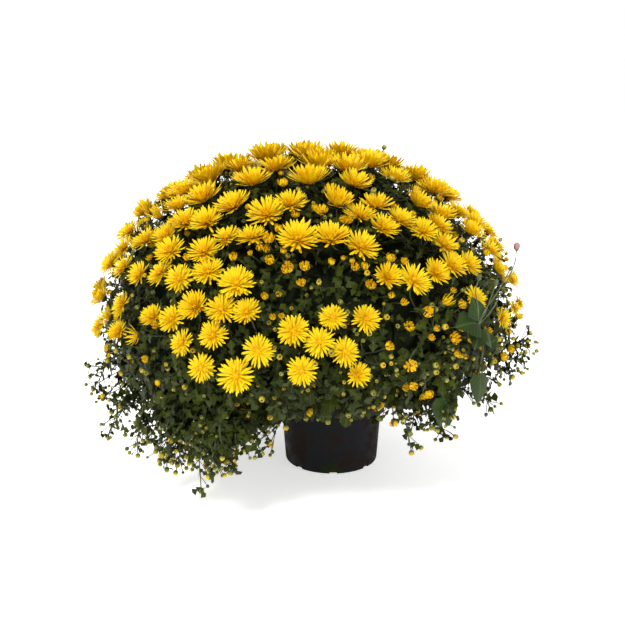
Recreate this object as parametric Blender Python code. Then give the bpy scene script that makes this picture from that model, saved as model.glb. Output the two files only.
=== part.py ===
"""A pot chrysanthemum in full flower, standing in its plain black nursery pot.

Metres, +Z up, with the origin at the centre of the pot's base and the front facing -Y.
Azimuths run from the front towards +X. A lift is the latitude on a dome, in radians.
"""

import math
import random

import bmesh
import bpy
from mathutils import Euler, Vector
from mathutils.bvhtree import BVHTree

MM = 0.001
GAP = 0.3 * MM
SEED = 41
UP = Vector((0, 0, 1))

# The plant's dome: a half ellipsoid above its widest level and a flatter one below it
DOME_X = -0.039
DOME_LEVEL = 0.252
BLOOM_DOME = (0.338, 0.262, 0.115)
CORE_DOME = (0.278, 0.205, 0.080)

# The view that the front flowers are read from: the eye, the point aimed at and the focal length in px
VIEW_EYE = Vector((-0.032, -1.30, 0.578))
VIEW_AIM = Vector((-0.032, 0.0, 0.252))
VIEW_FOCAL = 813
PICTURE = 625

# Open blooms of the front as seen in that view: column, row and width in px
FRONT_BLOOMS = (
    (258, 351, 34), (236, 376, 36), (201, 368, 24), (294, 331, 32), (302, 371, 26), (366, 319, 32),
    (331, 322, 24), (325, 338, 22), (341, 350, 22), (358, 375, 20), (235, 289, 38), (217, 310, 24),
    (244, 309, 30), (194, 310, 36), (155, 317, 28), (176, 316, 26), (182, 343, 25), (214, 331, 22),
    (137, 336, 22), (119, 332, 18), (109, 318, 18), (121, 305, 18), (103, 298, 20), (139, 274, 25),
    (160, 271, 24), (179, 278, 24), (123, 267, 20), (108, 262, 18), (304, 237, 37), (332, 238, 36),
    (355, 243, 35), (227, 237, 29), (248, 235, 20), (206, 250, 28), (208, 270, 25), (169, 251, 20),
    (145, 239, 22), (166, 234, 24), (128, 231, 20), (123, 247, 18), (266, 212, 33), (291, 201, 22),
    (206, 220, 24), (184, 221, 27), (160, 214, 22), (176, 206, 24), (360, 213, 28), (376, 203, 28),
    (338, 201, 22), (386, 225, 26), (403, 220, 22), (423, 228, 21), (439, 226, 20), (419, 202, 20),
    (441, 212, 20), (457, 210, 22), (416, 279, 37), (438, 271, 28), (388, 277, 21), (446, 246, 20),
    (451, 261, 18), (466, 264, 20), (444, 303, 24), (471, 231, 20), (491, 249, 22), (476, 298, 18),
    (497, 269, 18), (513, 280, 18), (503, 318, 18), (520, 303, 18),
)
FRONT_CUPS = (
    (349, 219), (322, 209), (233, 257), (270, 260), (367, 264), (351, 263), (268, 238), (174, 363),
    (245, 408), (163, 366), (209, 427), (310, 417), (389, 346), (413, 386), (428, 394), (452, 415),
    (462, 325), (498, 383), (518, 360), (391, 422), (411, 366), (455, 338), (288, 268), (339, 274),
)

# The other places: steps of a golden spiral from the crest down to a share of the whole round, with a swing
SPIRAL_STEPS = 640
SPIRAL_SHARE = 1.28
SPIRAL_SWING = 0.05
SEEN_AZIMUTH = math.radians(66)
SEEN_LIFT = math.radians(45)
CREST_LIFT = math.radians(35)
LOW_LIFT = math.radians(6)
SPARSE_SIDE = (0.9, 2.4)
OPEN_ON_SIDES = 0.80
OPEN_ON_SPARSE_SIDE = 0.62
OPEN_BELOW = 0.12
NO_CUP_UNDER = 0.55
CUP_EVERY = 4

# Flowers
BLOOM_RADIUS = (19 * MM, 23.5 * MM)
CUP_RADIUS = 8.5 * MM
SPACING = 0.90
BLOOM_PETALS = 8
CUP_PETALS = 3
STALK_RADIUS = 1.5 * MM
JOINT_DEPTH = 39 * MM
JOINT_RADIUS = 5 * MM
FOOT_RADIUS = 2.6 * MM
SEAT_GAP = 0.35 * MM
SPRAYS = 44
MOST_IN_SPRAY = 8
LEAST_NOD = 0.5
FLOWER_LIFT = 0.30
FLOWER_LEAN = 0.22
JOINT_TURNS = 120
JOINT_TURN = 0.37

# Reach of the tips and of the notches between petals, their rise over the centre, and the middle's rise
BLOOM_SHAPE = (0.87, 0.66, 4.2 * MM, 0.6 * MM, 2.6 * MM)
CUP_SHAPE = (6.6 * MM, 5.2 * MM, 6.5 * MM, 2.0 * MM, 1.5 * MM)
CALYX_DEPTH = 6.5 * MM
CALYX_RADIUS = 2.7 * MM

# Leaves, in mm along the midrib and across it, for one side of the blade
LEAF_OUTLINE = ((20, 13), (28, 7), (40, 21), (43, 9), (62, 0))
LEAF_MIDDLE = 33
LEAF_THICK = 1.1 * MM
LEAF_ARCH = 7 * MM
LEAF_FALL = 0.18
ROOT_RADIUS = 2.4 * MM
ROOT_ROOM = 0.3 * MM
ROOT_FACES = 6
SKIRT_LEVEL = 200 * MM
LEAVES_A_BRANCH = 11
LEAVES_IN_CROWN = 7
BUDS_A_BRANCH = 7
BUDS_IN_CROWN = 4
BUD_RADIUS = 4.2 * MM
BUD_LENGTH = 9 * MM
TWIG_RADIUS = 1.1 * MM
TWIG_LENGTH = (52 * MM, 84 * MM)

# Long twigs that hang out low down, by the number of the branch: most on the left of the front
TRAILING = {7: 4, 0: 2, 6: 2, 1: 2, 3: 1, 5: 1}
TRAIL_OUT = (30 * MM, 75 * MM)
TRAIL_DOWN = (45 * MM, 95 * MM)
TRAIL_LOWEST = 35 * MM
TRAIL_ZONES = ((0, 0.3),)

# Weed that climbs the right side out of the same pot: where its bends, heads and leaves are seen
WEED_FOOT = (55 * MM, -30 * MM)
WEED_UNDER = ((55 * MM, -30 * MM, 142 * MM), (66 * MM, -39 * MM, 160 * MM), (112 * MM, -76 * MM, 162 * MM))
WEED_BENDS = ((472, 418), (481, 380), (478, 345), (471, 312))
WEED_HEADS = (((480, 285), (490, 264)), ((470, 275), (466, 248)), ((498, 282), (516, 244)))
WEED_LEAVES = ((462, 430, -90), (477, 436, -70), (488, 378, 20), (458, 312, 160), (472, 288, 80))
WEED_OUTLINE = ((9, 5), (20, 17), (38, 15), (56, 0))
WEED_RADIUS = 2 * MM
WEED_ABOVE = 1.065
WEED_LEAF_SIZE = 0.8

# Bands of a branch's height that leaves and buds are shared out to in turn
LEAF_ZONES = ((0, 0.2), (0, 0.4), (0.2, 0.6), (0.1, 0.5), (0.6, 1))
BUD_ZONES = ((0, 0.5), (0.2, 0.5), (0.4, 1))

# Leafy branches: sectors of the dome's core, each on its own main stem
BRANCHES = 8
HALF_SECTOR = math.radians(22.2)
CORE_EDGE = math.radians(62)
CORE_ROWS = 8
CORE_COLUMNS = 5
CROWN_SIDES = 12
BRANCH_APEX = (0.205, 0.252)
CROWN_APEX = 0.375
SPIKE = (16 * MM, 28 * MM)
STEM_RADIUS = 3.2 * MM
STEM_SIDES = 6
STEM_RING = 26 * MM
STEM_BOW = 15 * MM
STEM_BEND = 0.45
COLLAR = 10 * MM
PLACES_TRIED = 400

# Pot and soil
POT_HEIGHT = 145 * MM
POT_BASE = 78 * MM
POT_TOP = 87 * MM
POT_LIP = 90 * MM
POT_LIP_HEIGHT = 11 * MM
POT_WALL = 1.5 * MM
POT_FOOT = 1.2 * MM
POT_SIDES = 32
SOIL_SIDES = 16
DRAIN_SLOTS = 8
DRAIN_SIZE = (12 * MM, 9 * MM, 7 * MM)
SOIL_TOP = 124 * MM
SOIL_UNEVEN = 3 * MM
SOIL_RING = 54 * MM
HOLE_RADIUS = 4.2 * MM
HOLE_FLOOR = 84 * MM


# Dome and view

def dome_point(azimuth, lift, dome):
    """Point of a dome, given as its reach, its rise and its drop."""
    reach, rise, drop = dome
    spread = reach * math.cos(lift)
    height = (rise if lift > 0 else drop) * math.sin(lift)
    return Vector((DOME_X + spread * math.sin(azimuth), -spread * math.cos(azimuth), DOME_LEVEL + height))


def on_bloom_dome(point):
    """The point moved to the bloom dome along the line from the dome's middle."""
    reach, rise, drop = BLOOM_DOME
    height = rise if point.z > DOME_LEVEL else drop
    round_place = Vector(((point.x - DOME_X) / reach, point.y / reach, (point.z - DOME_LEVEL) / height))
    round_place.normalize()
    return Vector((DOME_X + reach * round_place.x, reach * round_place.y, DOME_LEVEL + height * round_place.z))


def outward(point):
    """Outward direction of the bloom dome, kept from turning far below level."""
    reach, rise, drop = BLOOM_DOME
    steepness = max(point.z - DOME_LEVEL, -0.02) / rise ** 2
    return Vector(((point.x - DOME_X) / reach ** 2, point.y / reach ** 2, steepness)).normalized()


def sighted(column, row):
    """Point of the bloom dome seen at a place in the view, or the nearest where the line misses it."""
    forward = (VIEW_AIM - VIEW_EYE).normalized()
    right = forward.cross(UP).normalized()
    down = forward.cross(right)
    line = forward * VIEW_FOCAL + right * (column - PICTURE / 2) + down * (row - PICTURE / 2)
    reach, rise, drop = BLOOM_DOME
    for height, side in ((rise, 1), (drop, -1)):
        start = Vector(((VIEW_EYE.x - DOME_X) / reach, VIEW_EYE.y / reach, (VIEW_EYE.z - DOME_LEVEL) / height))
        step = Vector((line.x / reach, line.y / reach, line.z / height))
        along = -start.dot(step) / step.dot(step)
        short = along ** 2 - (start.dot(start) - 1) / step.dot(step)
        if short > 0:
            along -= math.sqrt(short)
        place = (start + step * along).normalized()
        if place.z * side >= 0:
            break
    return Vector((DOME_X + reach * place.x, reach * place.y, DOME_LEVEL + height * place.z))


# Where the flowers are

def share_open(azimuth, lift):
    """Share of the places that bear an open bloom: all on the crest, few low down, fewer on the right."""
    if lift > CREST_LIFT:
        return 1.0
    if lift > LOW_LIFT:
        return OPEN_ON_SPARSE_SIDE if SPARSE_SIDE[0] < azimuth < SPARSE_SIDE[1] else OPEN_ON_SIDES
    return OPEN_BELOW


def in_front(azimuth, lift):
    """Whether the view shows this part of the dome well enough to read its flowers."""
    return abs(azimuth) < SEEN_AZIMUTH and lift < SEEN_LIFT


def apart(place, radius, placed, share):
    """Whether a flower here would stay clear of those placed."""
    return all((place - other).length > share * (radius + width) for other, width in placed)


def place_flowers():
    """Centre and radius of each flower: the front ones as read in the view, the others by a golden spiral."""
    draw = random.Random(SEED)
    placed = []
    for column, row, width in FRONT_BLOOMS:
        place = sighted(column, row)
        radius = width / 2 * (place - VIEW_EYE).length / VIEW_FOCAL
        placed.append((place, min(max(radius, BLOOM_RADIUS[0]), BLOOM_RADIUS[1])))
    for column, row in FRONT_CUPS:
        placed.append((sighted(column, row), CUP_RADIUS))
    turn = math.pi * (3 - math.sqrt(5))
    for step in range(SPIRAL_STEPS):
        lift = math.asin(1 - SPIRAL_SHARE * (step + 0.5) / SPIRAL_STEPS)
        azimuth = math.remainder(turn * step + draw.uniform(-SPIRAL_SWING, SPIRAL_SWING), math.tau)
        radius = draw.uniform(*BLOOM_RADIUS)
        chance = draw.random()
        if in_front(azimuth, lift):
            continue
        place = dome_point(azimuth, lift, BLOOM_DOME)
        if chance < share_open(azimuth, lift) and apart(place, radius, placed, 1.0):
            placed.append((place, radius))
        elif chance > NO_CUP_UNDER and step % CUP_EVERY == 0 and apart(place, CUP_RADIUS, placed, 1.1):
            placed.append((place, CUP_RADIUS))
    return spread_out(placed)


def spread_out(placed):
    """Push flowers that stand too close apart along the dome, in small steps."""
    for _ in range(40):
        for one in range(len(placed)):
            for other in range(one):
                (here, wide), (there, narrow) = placed[one], placed[other]
                away = here - there
                short = SPACING * (wide + narrow) - away.length
                if short > 0:
                    push = away.normalized() * (short / 2 + 0.2 * MM)
                    placed[one] = (on_bloom_dome(here + push), wide)
                    placed[other] = (on_bloom_dome(there - push), narrow)
    return placed


def group_flowers(placed):
    """Share the flowers out among the sprays: far-apart seeds, then each flower to its nearest middle."""
    blooms = [place for place, radius in placed if radius > CUP_RADIUS]
    middles = blooms[:1]
    while len(middles) < SPRAYS:
        middles.append(max(blooms, key=lambda place: min((place - middle).length for middle in middles)))
    for _ in range(6):
        groups = [[] for _ in middles]
        for item in placed:
            nearest = min(range(SPRAYS), key=lambda k: (item[0] - middles[k]).length)
            groups[nearest].append(item)
        middles = [sum((item[0] for item in group), Vector()) / len(group) for group in groups]
    return groups, [on_bloom_dome(middle) for middle in middles]


# Shapes

def ring(middle, axis, radius, sides, start=0.0):
    """Points round an axis, turned alike for like axes."""
    first = axis.cross(Vector((0.31, 0.17, 0.93))).normalized()
    second = axis.normalized().cross(first)
    angles = [start + math.tau * k / sides for k in range(sides)]
    return [middle + radius * (first * math.cos(a) + second * math.sin(a)) for a in angles]


def band(low, high):
    """Faces between two rings of points, given by their numbers."""
    faces = []
    for k in range(len(low)):
        n = (k + 1) % len(low)
        faces += [(low[k], low[n], high[n]), (low[k], high[n], high[k])]
    return faces


def tube(path, radii, sides):
    """A closed tube along a path, with a radius for each point."""
    points = []
    faces = []
    last = len(path) - 1
    for k, (place, radius) in enumerate(zip(path, radii)):
        points += ring(place, path[min(k + 1, last)] - path[max(k - 1, 0)], radius, sides)
        if k > 0:
            faces += band(range((k - 1) * sides, k * sides), range(k * sides, (k + 1) * sides))
    return points, faces + [tuple(range(sides)), tuple(range(last * sides, (last + 1) * sides))]


def carried(corners, middle, axis, place, radius):
    """The corners of a small triangle carried along a stalk to a place, square to an axis there."""
    carried_corners = []
    for corner in corners:
        side = corner - middle
        side -= axis * side.dot(axis)
        carried_corners.append(place + side.normalized() * radius)
    return carried_corners


def grow_flower(points, corners, centre, facing, radius, turn):
    """Faces of a flower on a stalk that starts at three corners: a star-shaped saucer or a small cup."""
    is_open = radius > CUP_RADIUS
    petals = BLOOM_PETALS if is_open else CUP_PETALS
    tip, notch, tip_rise, notch_rise, middle = BLOOM_SHAPE if is_open else CUP_SHAPE
    if is_open:
        tip, notch = tip * radius, notch * radius
    start = sum((points[k] for k in corners), Vector()) / 3
    neck = carried([points[k] for k in corners], start, facing, centre - facing * CALYX_DEPTH, CALYX_RADIUS)
    first = len(points)
    points += neck
    faces = band(corners, range(first, first + 3))
    sides = 2 * petals
    tips = ring(centre + facing * tip_rise, facing, tip, sides, turn)
    notches = ring(centre + facing * notch_rise, facing, notch, sides, turn)
    rim = [(tips if k % 2 == 0 else notches)[k] for k in range(sides)]
    if (neck[1] - neck[0]).cross(neck[2] - neck[1]).dot((rim[1] - rim[0]).cross(rim[2] - rim[1])) < 0:
        rim.reverse()
    edge = len(points)
    points += rim + [centre + facing * middle]
    top = len(points) - 1
    owner = [min(range(3), key=lambda k: (neck[k] - p).length) for p in rim]
    for k in range(sides):
        n = (k + 1) % sides
        faces += [(edge + k, edge + n, top), (edge + n, edge + k, first + owner[k])]
        if owner[k] != owner[n]:
            faces.append((edge + n, first + owner[k], first + owner[n]))
    return faces


def grow_leaf(points, corners, along, facing, size, half_outline=LEAF_OUTLINE):
    """Faces of a lobed leaf that starts at three corners: its outline fanned above and below."""
    across = facing.cross(along).normalized()
    facing = along.cross(across).normalized()
    root = sum((points[k] for k in corners), Vector()) / 3
    length = half_outline[-1][0]
    outline = list(half_outline) + [(u, -w) for u, w in reversed(half_outline[:-1])]

    def place(u, w, lift):
        arch = LEAF_ARCH * math.sin(math.pi * u / length) - LEAF_FALL * abs(w) * MM
        return root + size * (along * u * MM + across * w * MM + facing * arch) + facing * lift

    left, single, right = sorted(corners, key=lambda k: -points[k].dot(across))
    level = (points[left] + points[right]) / 2
    single_is_above = (points[single] - level).dot(facing) > 0
    first = len(points)
    points += [place(u, w, 0) for u, w in outline]
    points += [place(LEAF_MIDDLE, 0, LEAF_THICK), place(LEAF_MIDDLE, 0, -LEAF_THICK)]
    above, below = len(points) - 2, len(points) - 1
    chain = [left] + list(range(first, above)) + [right]
    faces = []
    for here, there in zip(chain, chain[1:]):
        faces += [(here, there, above), (there, here, below)]
    near, far = (above, below) if single_is_above else (below, above)
    return faces + [(left, single, near), (single, right, near), (left, right, far)]


def grow_bud(points, corners, *path):
    """Faces of a twig that starts at three corners and ends in a round closed bud."""
    start = sum((points[k] for k in corners), Vector()) / 3
    route = [start, *path]
    axis = (route[-1] - route[-2]).normalized()
    stations = [(place, (route[k + 2] - route[k]).normalized(), TWIG_RADIUS) for k, place in enumerate(path[:-1])]
    stations += [(path[-1] - axis * BUD_LENGTH / 2, axis, TWIG_RADIUS), (path[-1], axis, BUD_RADIUS)]
    faces = []
    low = list(corners)
    for place, along, radius in stations:
        high = range(len(points), len(points) + 3)
        points += carried([points[k] for k in low], start, along, place, radius)
        faces += band(low, high)
        low = list(high)
        start = place
    points.append(path[-1] + axis * BUD_LENGTH / 2)
    return faces + [(low[k], low[(k + 1) % 3], len(points) - 1) for k in range(3)]


# Objects

def clear_scene():
    """Remove what the file starts with."""
    for thing in list(bpy.data.objects):
        bpy.data.objects.remove(thing)


def material(name, colour, roughness):
    """A plain surface of one colour."""
    made = bpy.data.materials.new(name)
    made.use_nodes = True
    shader = made.node_tree.nodes["Principled BSDF"]
    shader.inputs["Base Color"].default_value = (*colour, 1)
    shader.inputs["Roughness"].default_value = roughness
    return made


def solid(name, points, faces, surface=None, collection=None):
    """An object of a closed surface, with its faces turned outwards."""
    mesh = bpy.data.meshes.new(name)
    mesh.from_pydata([tuple(p) for p in points], [], faces)
    shaped = bmesh.new()
    shaped.from_mesh(mesh)
    bmesh.ops.triangulate(shaped, faces=shaped.faces)
    bmesh.ops.recalc_face_normals(shaped, faces=shaped.faces)
    shaped.to_mesh(mesh)
    shaped.free()
    if surface:
        mesh.materials.append(surface)
    made = bpy.data.objects.new(name, mesh)
    (collection or bpy.context.scene.collection).objects.link(made)
    return made


def combine(body, shapes, operation):
    """Join closed shapes to a body or cut them out of it with one Boolean, and remove them."""
    group = bpy.data.collections.new("shapes")
    bpy.context.scene.collection.children.link(group)
    for k, (points, faces) in enumerate(shapes):
        solid(f"shape_{k}", points, faces, collection=group)
    change = body.modifiers.new("change", "BOOLEAN")
    change.operand_type = "COLLECTION"
    change.collection = group
    change.operation = operation
    change.solver = "EXACT"
    graph = bpy.context.evaluated_depsgraph_get()
    mesh = bpy.data.meshes.new_from_object(body.evaluated_get(graph))
    body.modifiers.clear()
    body.data = mesh
    for thing in list(group.objects):
        bpy.data.objects.remove(thing)
    bpy.data.collections.remove(group)
    drop_scraps(mesh)


def drop_scraps(mesh):
    """Keep only the body with the most points, without what a Boolean left inside it or loose."""
    shaped = bmesh.new()
    shaped.from_mesh(mesh)
    left = set(shaped.verts)
    bodies = []
    while left:
        body = {left.pop()}
        edge = list(body)
        while edge:
            vertex = edge.pop()
            near = {line.other_vert(vertex) for line in vertex.link_edges} & left
            left -= near
            body |= near
            edge += near
        bodies.append(body)
    bodies.sort(key=len)
    bmesh.ops.delete(shaped, geom=[vertex for body in bodies[:-1] for vertex in body], context="VERTS")
    shaped.to_mesh(mesh)
    shaped.free()


class Placed:
    """The shapes set so far, so that later ones stay clear of them."""

    def __init__(self):
        self.shapes = []
        self.cores = []

    def add(self, points, faces, is_core=False):
        low, high = box(points)
        group = self.cores if is_core else self.shapes
        group.append((BVHTree.FromPolygons(points, faces), low, high))

    def blocked(self, points, faces, by_cores=True):
        low, high = box(points)
        tree = BVHTree.FromPolygons(points, faces)
        for other, other_low, other_high in self.shapes + (self.cores if by_cores else []):
            near = all(low[i] < other_high[i] and high[i] > other_low[i] for i in range(3))
            if near and tree.overlap(other):
                return True
        return False


def crossing_faces(points, faces):
    """Faces of a shape that cross another one which shares no corner with them."""
    tree = BVHTree.FromPolygons(points, faces)
    return [one for one, other in tree.overlap(tree) if not set(faces[one]) & set(faces[other])]


def box(points):
    """Lowest and highest corner of the box round some points."""
    return [min(p[i] for p in points) for i in range(3)], [max(p[i] for p in points) for i in range(3)]


# Sprays

def spray_shape(joint, seat, normal, flowers, turn):
    """A spray: stalks that grow from the faces of a small joint, and its foot on the foliage's core."""
    shaped = bmesh.new()
    bmesh.ops.create_icosphere(shaped, subdivisions=1, radius=JOINT_RADIUS)
    bmesh.ops.rotate(shaped, verts=shaped.verts, matrix=Euler((turn, 2 * turn, 3 * turn)).to_matrix())
    shaped.normal_update()
    points = [joint + vertex.co for vertex in shaped.verts]
    free = {face.index: [vertex.index for vertex in face.verts] for face in shaped.faces}
    facings = {face.index: face.normal.copy() for face in shaped.faces}
    shaped.free()

    def nearness(pair):
        return facings[pair[1]].dot((targets[pair[0]] - joint).normalized())

    targets = [seat] + [flower[0] for flower in flowers]
    pairs = sorted(((t, f) for t in range(len(targets)) for f in free), key=nearness, reverse=True)
    corners = {}
    for target, face in pairs:
        if target not in corners and face in free:
            corners[target] = free.pop(face)
    start = [points[k] for k in corners[0]]
    foot = carried(start, sum(start, Vector()) / 3, normal, seat + normal * SEAT_GAP, FOOT_RADIUS)
    points += foot
    last = len(points)
    faces = list(free.values()) + band(corners[0], range(last - 3, last)) + [(last - 3, last - 2, last - 1)]
    for number, flower in enumerate(flowers):
        faces += grow_flower(points, corners[number + 1], *flower)
    return points, faces


def seat_for(joint, cores):
    """The free core triangle nearest under a joint, marked as taken."""
    best = None
    for core in cores:
        for index in range(len(core.triangles)):
            if index in core.growths:
                continue
            middle, normal = core.facet(index)
            away = (middle - joint).length + 0.6 * (joint - middle).cross(normal).length
            if best is None or away < best[0]:
                best = (away, core, index)
    core, index = best[1:]
    core.growths[index] = None
    return core.facet(index)


def make_sprays(cores, placed, yellow):
    """The flowers in sprays, each on a short branch that stands on the foliage's core."""
    draw = random.Random(SEED + 1)
    groups, middles = group_flowers(place_flowers())
    joints = [middle - outward(middle) * JOINT_DEPTH for middle in middles]
    seats = [seat_for(joint, cores) for joint in joints]
    before = placed.shapes
    placed.shapes = list(before)
    for joint, (seat, normal) in zip(joints, seats):
        placed.add(*tube([seat + normal * SEAT_GAP, joint, joint + normal * JOINT_RADIUS],
                         [FOOT_RADIUS, JOINT_RADIUS, JOINT_RADIUS], 6))
    flowers = [[] for _ in joints]
    for number, group in enumerate(groups):
        for centre, radius in group:
            lean = Vector([draw.uniform(-FLOWER_LEAN, FLOWER_LEAN) for _ in range(3)])
            facing = (outward(centre) + UP * FLOWER_LIFT + lean).normalized()
            turn = draw.uniform(0, math.tau)
            others = sorted(range(SPRAYS), key=lambda k: (joints[k] - centre).length)[:3]
            for home in [number] + others:
                if len(flowers[home]) == MOST_IN_SPRAY:
                    continue
                stalk = (centre - joints[home]).normalized()
                lift = max(LEAST_NOD - facing.dot(stalk), 0)
                flower = (centre, (facing + stalk * lift * 1.5).normalized(), radius, turn)
                points = ring(joints[home].lerp(centre, 0.25), stalk, STALK_RADIUS, 3)
                faces = grow_flower(points, (0, 1, 2), *flower)
                if not placed.blocked(points, faces):
                    placed.add(points, faces)
                    flowers[home].append(flower)
                    break
    placed.shapes = before
    for number, (joint, (seat, normal)) in enumerate(zip(joints, seats)):
        for turn in range(JOINT_TURNS):
            points, faces = spray_shape(joint, seat, normal, flowers[number], turn * JOINT_TURN)
            if not crossing_faces(points, faces):
                break
        placed.add(points, faces)
        solid(f"spray_{number + 1:02d}", points, faces, yellow)


# Foliage

def grow_from(points, corners, grow, root, details):
    """Faces of a growth on a triangle: over all of it, or from a small triangle round its root."""
    if root is None:
        return grow(points, corners, *details)
    inner = range(len(points), len(points) + 3)
    points += [root + (points[k] - root).normalized() * ROOT_RADIUS for k in corners]
    return band(corners, inner) + grow(points, inner, *details)


class Core:
    """A leafy node: a shell of triangles that leaves, buds and spikes grow from, drawn in to a main stem."""

    def __init__(self, name, points, triangles, loop, stem, axis):
        self.name = name
        self.points = points
        self.triangles = triangles
        self.loop = loop
        self.stem = stem
        self.axis = axis
        self.growths = {}

    def facet(self, index):
        """Middle and outward normal of one outer triangle."""
        a, b, c = (self.points[k] for k in self.triangles[index])
        normal = (b - a).cross(c - a).normalized()
        middle = (a + b + c) / 3
        if normal.dot(middle - self.stem[0]) < 0:
            normal.negate()
        return middle, normal

    def shape(self):
        """Points and faces of the whole body."""
        points = list(self.points)
        faces = []
        for index, corners in enumerate(self.triangles):
            growth = self.growths.get(index)
            faces += grow_from(points, corners, *growth) if growth else [corners]
        return points, faces + self.grow_stem(points)

    def rooted(self, index):
        """Points and faces of one growth, with the triangle that it grows from."""
        points = [self.points[k] for k in self.triangles[index]]
        return points, grow_from(points, (0, 1, 2), *self.growths[index])

    def grow_stem(self, points):
        """Faces that draw the shell's edge in to the main stem, and the stem down to its foot."""
        axis = self.axis
        outer = [(points[k] - self.stem[0]) - axis * (points[k] - self.stem[0]).dot(axis) for k in self.loop]
        first = outer[0].normalized()
        second = axis.cross(first)
        if second.dot(outer[2]) < 0:
            second.negate()
        angles = [math.atan2(p.dot(second), p.dot(first)) % math.tau for p in outer]
        count = len(self.loop)
        owner = [round(a / math.tau * STEM_SIDES) % STEM_SIDES for a in angles]
        sides = [first * math.cos(math.tau * k / STEM_SIDES) + second * math.sin(math.tau * k / STEM_SIDES)
                 for k in range(STEM_SIDES)]
        low = list(range(len(points), len(points) + STEM_SIDES))
        faces = []
        for k in range(count):
            n = (k + 1) % count
            faces.append((self.loop[k], self.loop[n], low[owner[k]]))
            corner = owner[k]
            while corner != owner[n]:
                following = (corner + 1) % STEM_SIDES
                faces.append((self.loop[n], low[corner], low[following]))
                corner = following
        last = len(self.stem) - 1
        for level, place in enumerate(self.stem):
            along = self.stem[max(level - 1, 0)] - self.stem[min(level + 1, last)]
            points += carried([place + side for side in sides], place, along.normalized(), place, STEM_RADIUS)
            if level:
                high = list(range(len(points) - STEM_SIDES, len(points)))
                faces += band(low, high)
                low = high
        return faces + [tuple(low)]


def stem_foot(number):
    """Where a branch's main stem stands on the floor of its hole; the crown's is in the middle."""
    if number is None:
        return Vector((0, 0, HOLE_FLOOR + GAP))
    azimuth = number * math.tau / BRANCHES
    return Vector((STEM_RING * math.sin(azimuth), -STEM_RING * math.cos(azimuth), HOLE_FLOOR + GAP))


def stem_path(number, apex):
    """Points of a main stem from the core down to its foot."""
    foot = stem_foot(number)
    collar = Vector((foot.x, foot.y, SOIL_TOP + COLLAR))
    return [apex, collar.lerp(apex, STEM_BEND) + UP * STEM_BOW, collar, foot]


def branch_core(number):
    """Core of one leafy branch: a sector of the core dome from its lower edge to the crown."""
    middle = number * math.tau / BRANCHES
    points = []
    for row in range(CORE_ROWS + 1):
        lift = -CORE_EDGE + 2 * CORE_EDGE * row / CORE_ROWS
        for column in range(CORE_COLUMNS + 1):
            azimuth = middle + HALF_SECTOR * (2 * column / CORE_COLUMNS - 1)
            points.append(dome_point(azimuth, lift, CORE_DOME))
    triangles = []
    wide = CORE_COLUMNS + 1
    for row in range(CORE_ROWS):
        for column in range(CORE_COLUMNS):
            a = row * wide + column
            b, c, d = a + 1, a + wide + 1, a + wide
            triangles += [(a, b, c), (a, c, d)] if (row + column) % 2 else [(a, b, d), (b, c, d)]
    top = CORE_ROWS * wide
    loop = list(range(wide)) + [row * wide + CORE_COLUMNS for row in range(1, CORE_ROWS)]
    loop += list(range(top + CORE_COLUMNS, top - 1, -1)) + [row * wide for row in range(CORE_ROWS - 1, 0, -1)]
    out, height = BRANCH_APEX
    axis = Vector((math.sin(middle), -math.cos(middle), 0))
    apex = Vector((DOME_X, 0, height)) + axis * out
    return Core(f"leafy_branch_{number + 1:02d}", points, triangles, loop, stem_path(number, apex), axis)


def crown_core():
    """Core of the crown: the cap over the branches."""
    points = [dome_point(0, math.pi / 2, CORE_DOME)]
    for lift in (math.radians(76), CORE_EDGE + math.radians(0.7)):
        for k in range(CROWN_SIDES):
            points.append(dome_point(math.tau * k / CROWN_SIDES, lift, CORE_DOME))
    triangles = []
    for k in range(CROWN_SIDES):
        n = (k + 1) % CROWN_SIDES
        inner, next_inner = 1 + k, 1 + n
        outer, next_outer = inner + CROWN_SIDES, next_inner + CROWN_SIDES
        triangles += [(0, inner, next_inner), (inner, outer, next_outer), (inner, next_outer, next_inner)]
    loop = list(range(1 + CROWN_SIDES, 1 + 2 * CROWN_SIDES))
    apex = Vector((DOME_X, 0, CROWN_APEX))
    return Core("leafy_crown", points, triangles, loop, stem_path(None, apex), UP)


def in_sector(number, points):
    """Whether the points lie within a branch's own sector of the dome; the crown has no sector."""
    if number is None:
        return True
    middle = number * math.tau / BRANCHES
    turns = [math.remainder(math.atan2(p.x - DOME_X, -p.y) - middle, math.tau) for p in points]
    return max(turns) < HALF_SECTOR and min(turns) > -HALF_SECTOR


def free_places(core, draw, zones):
    """Free triangles of a core in turn, each with a point in it, drawn from rows in the given turn."""
    rows = max(len(core.triangles) // (2 * CORE_COLUMNS), 1)
    for attempt in range(PLACES_TRIED):
        low, high = zones[attempt % len(zones)]
        first = int(low * rows) * 2 * CORE_COLUMNS
        last = min(max(int(high * rows), 1) * 2 * CORE_COLUMNS, len(core.triangles))
        index = draw.randrange(first, last)
        if index not in core.growths:
            a, b, c = (core.points[k] for k in core.triangles[index])
            u, w = draw.uniform(0.2, 0.6), draw.uniform(0.3, 0.7)
            yield index, a * u + (b * w + c * (1 - w)) * (1 - u)


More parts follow.
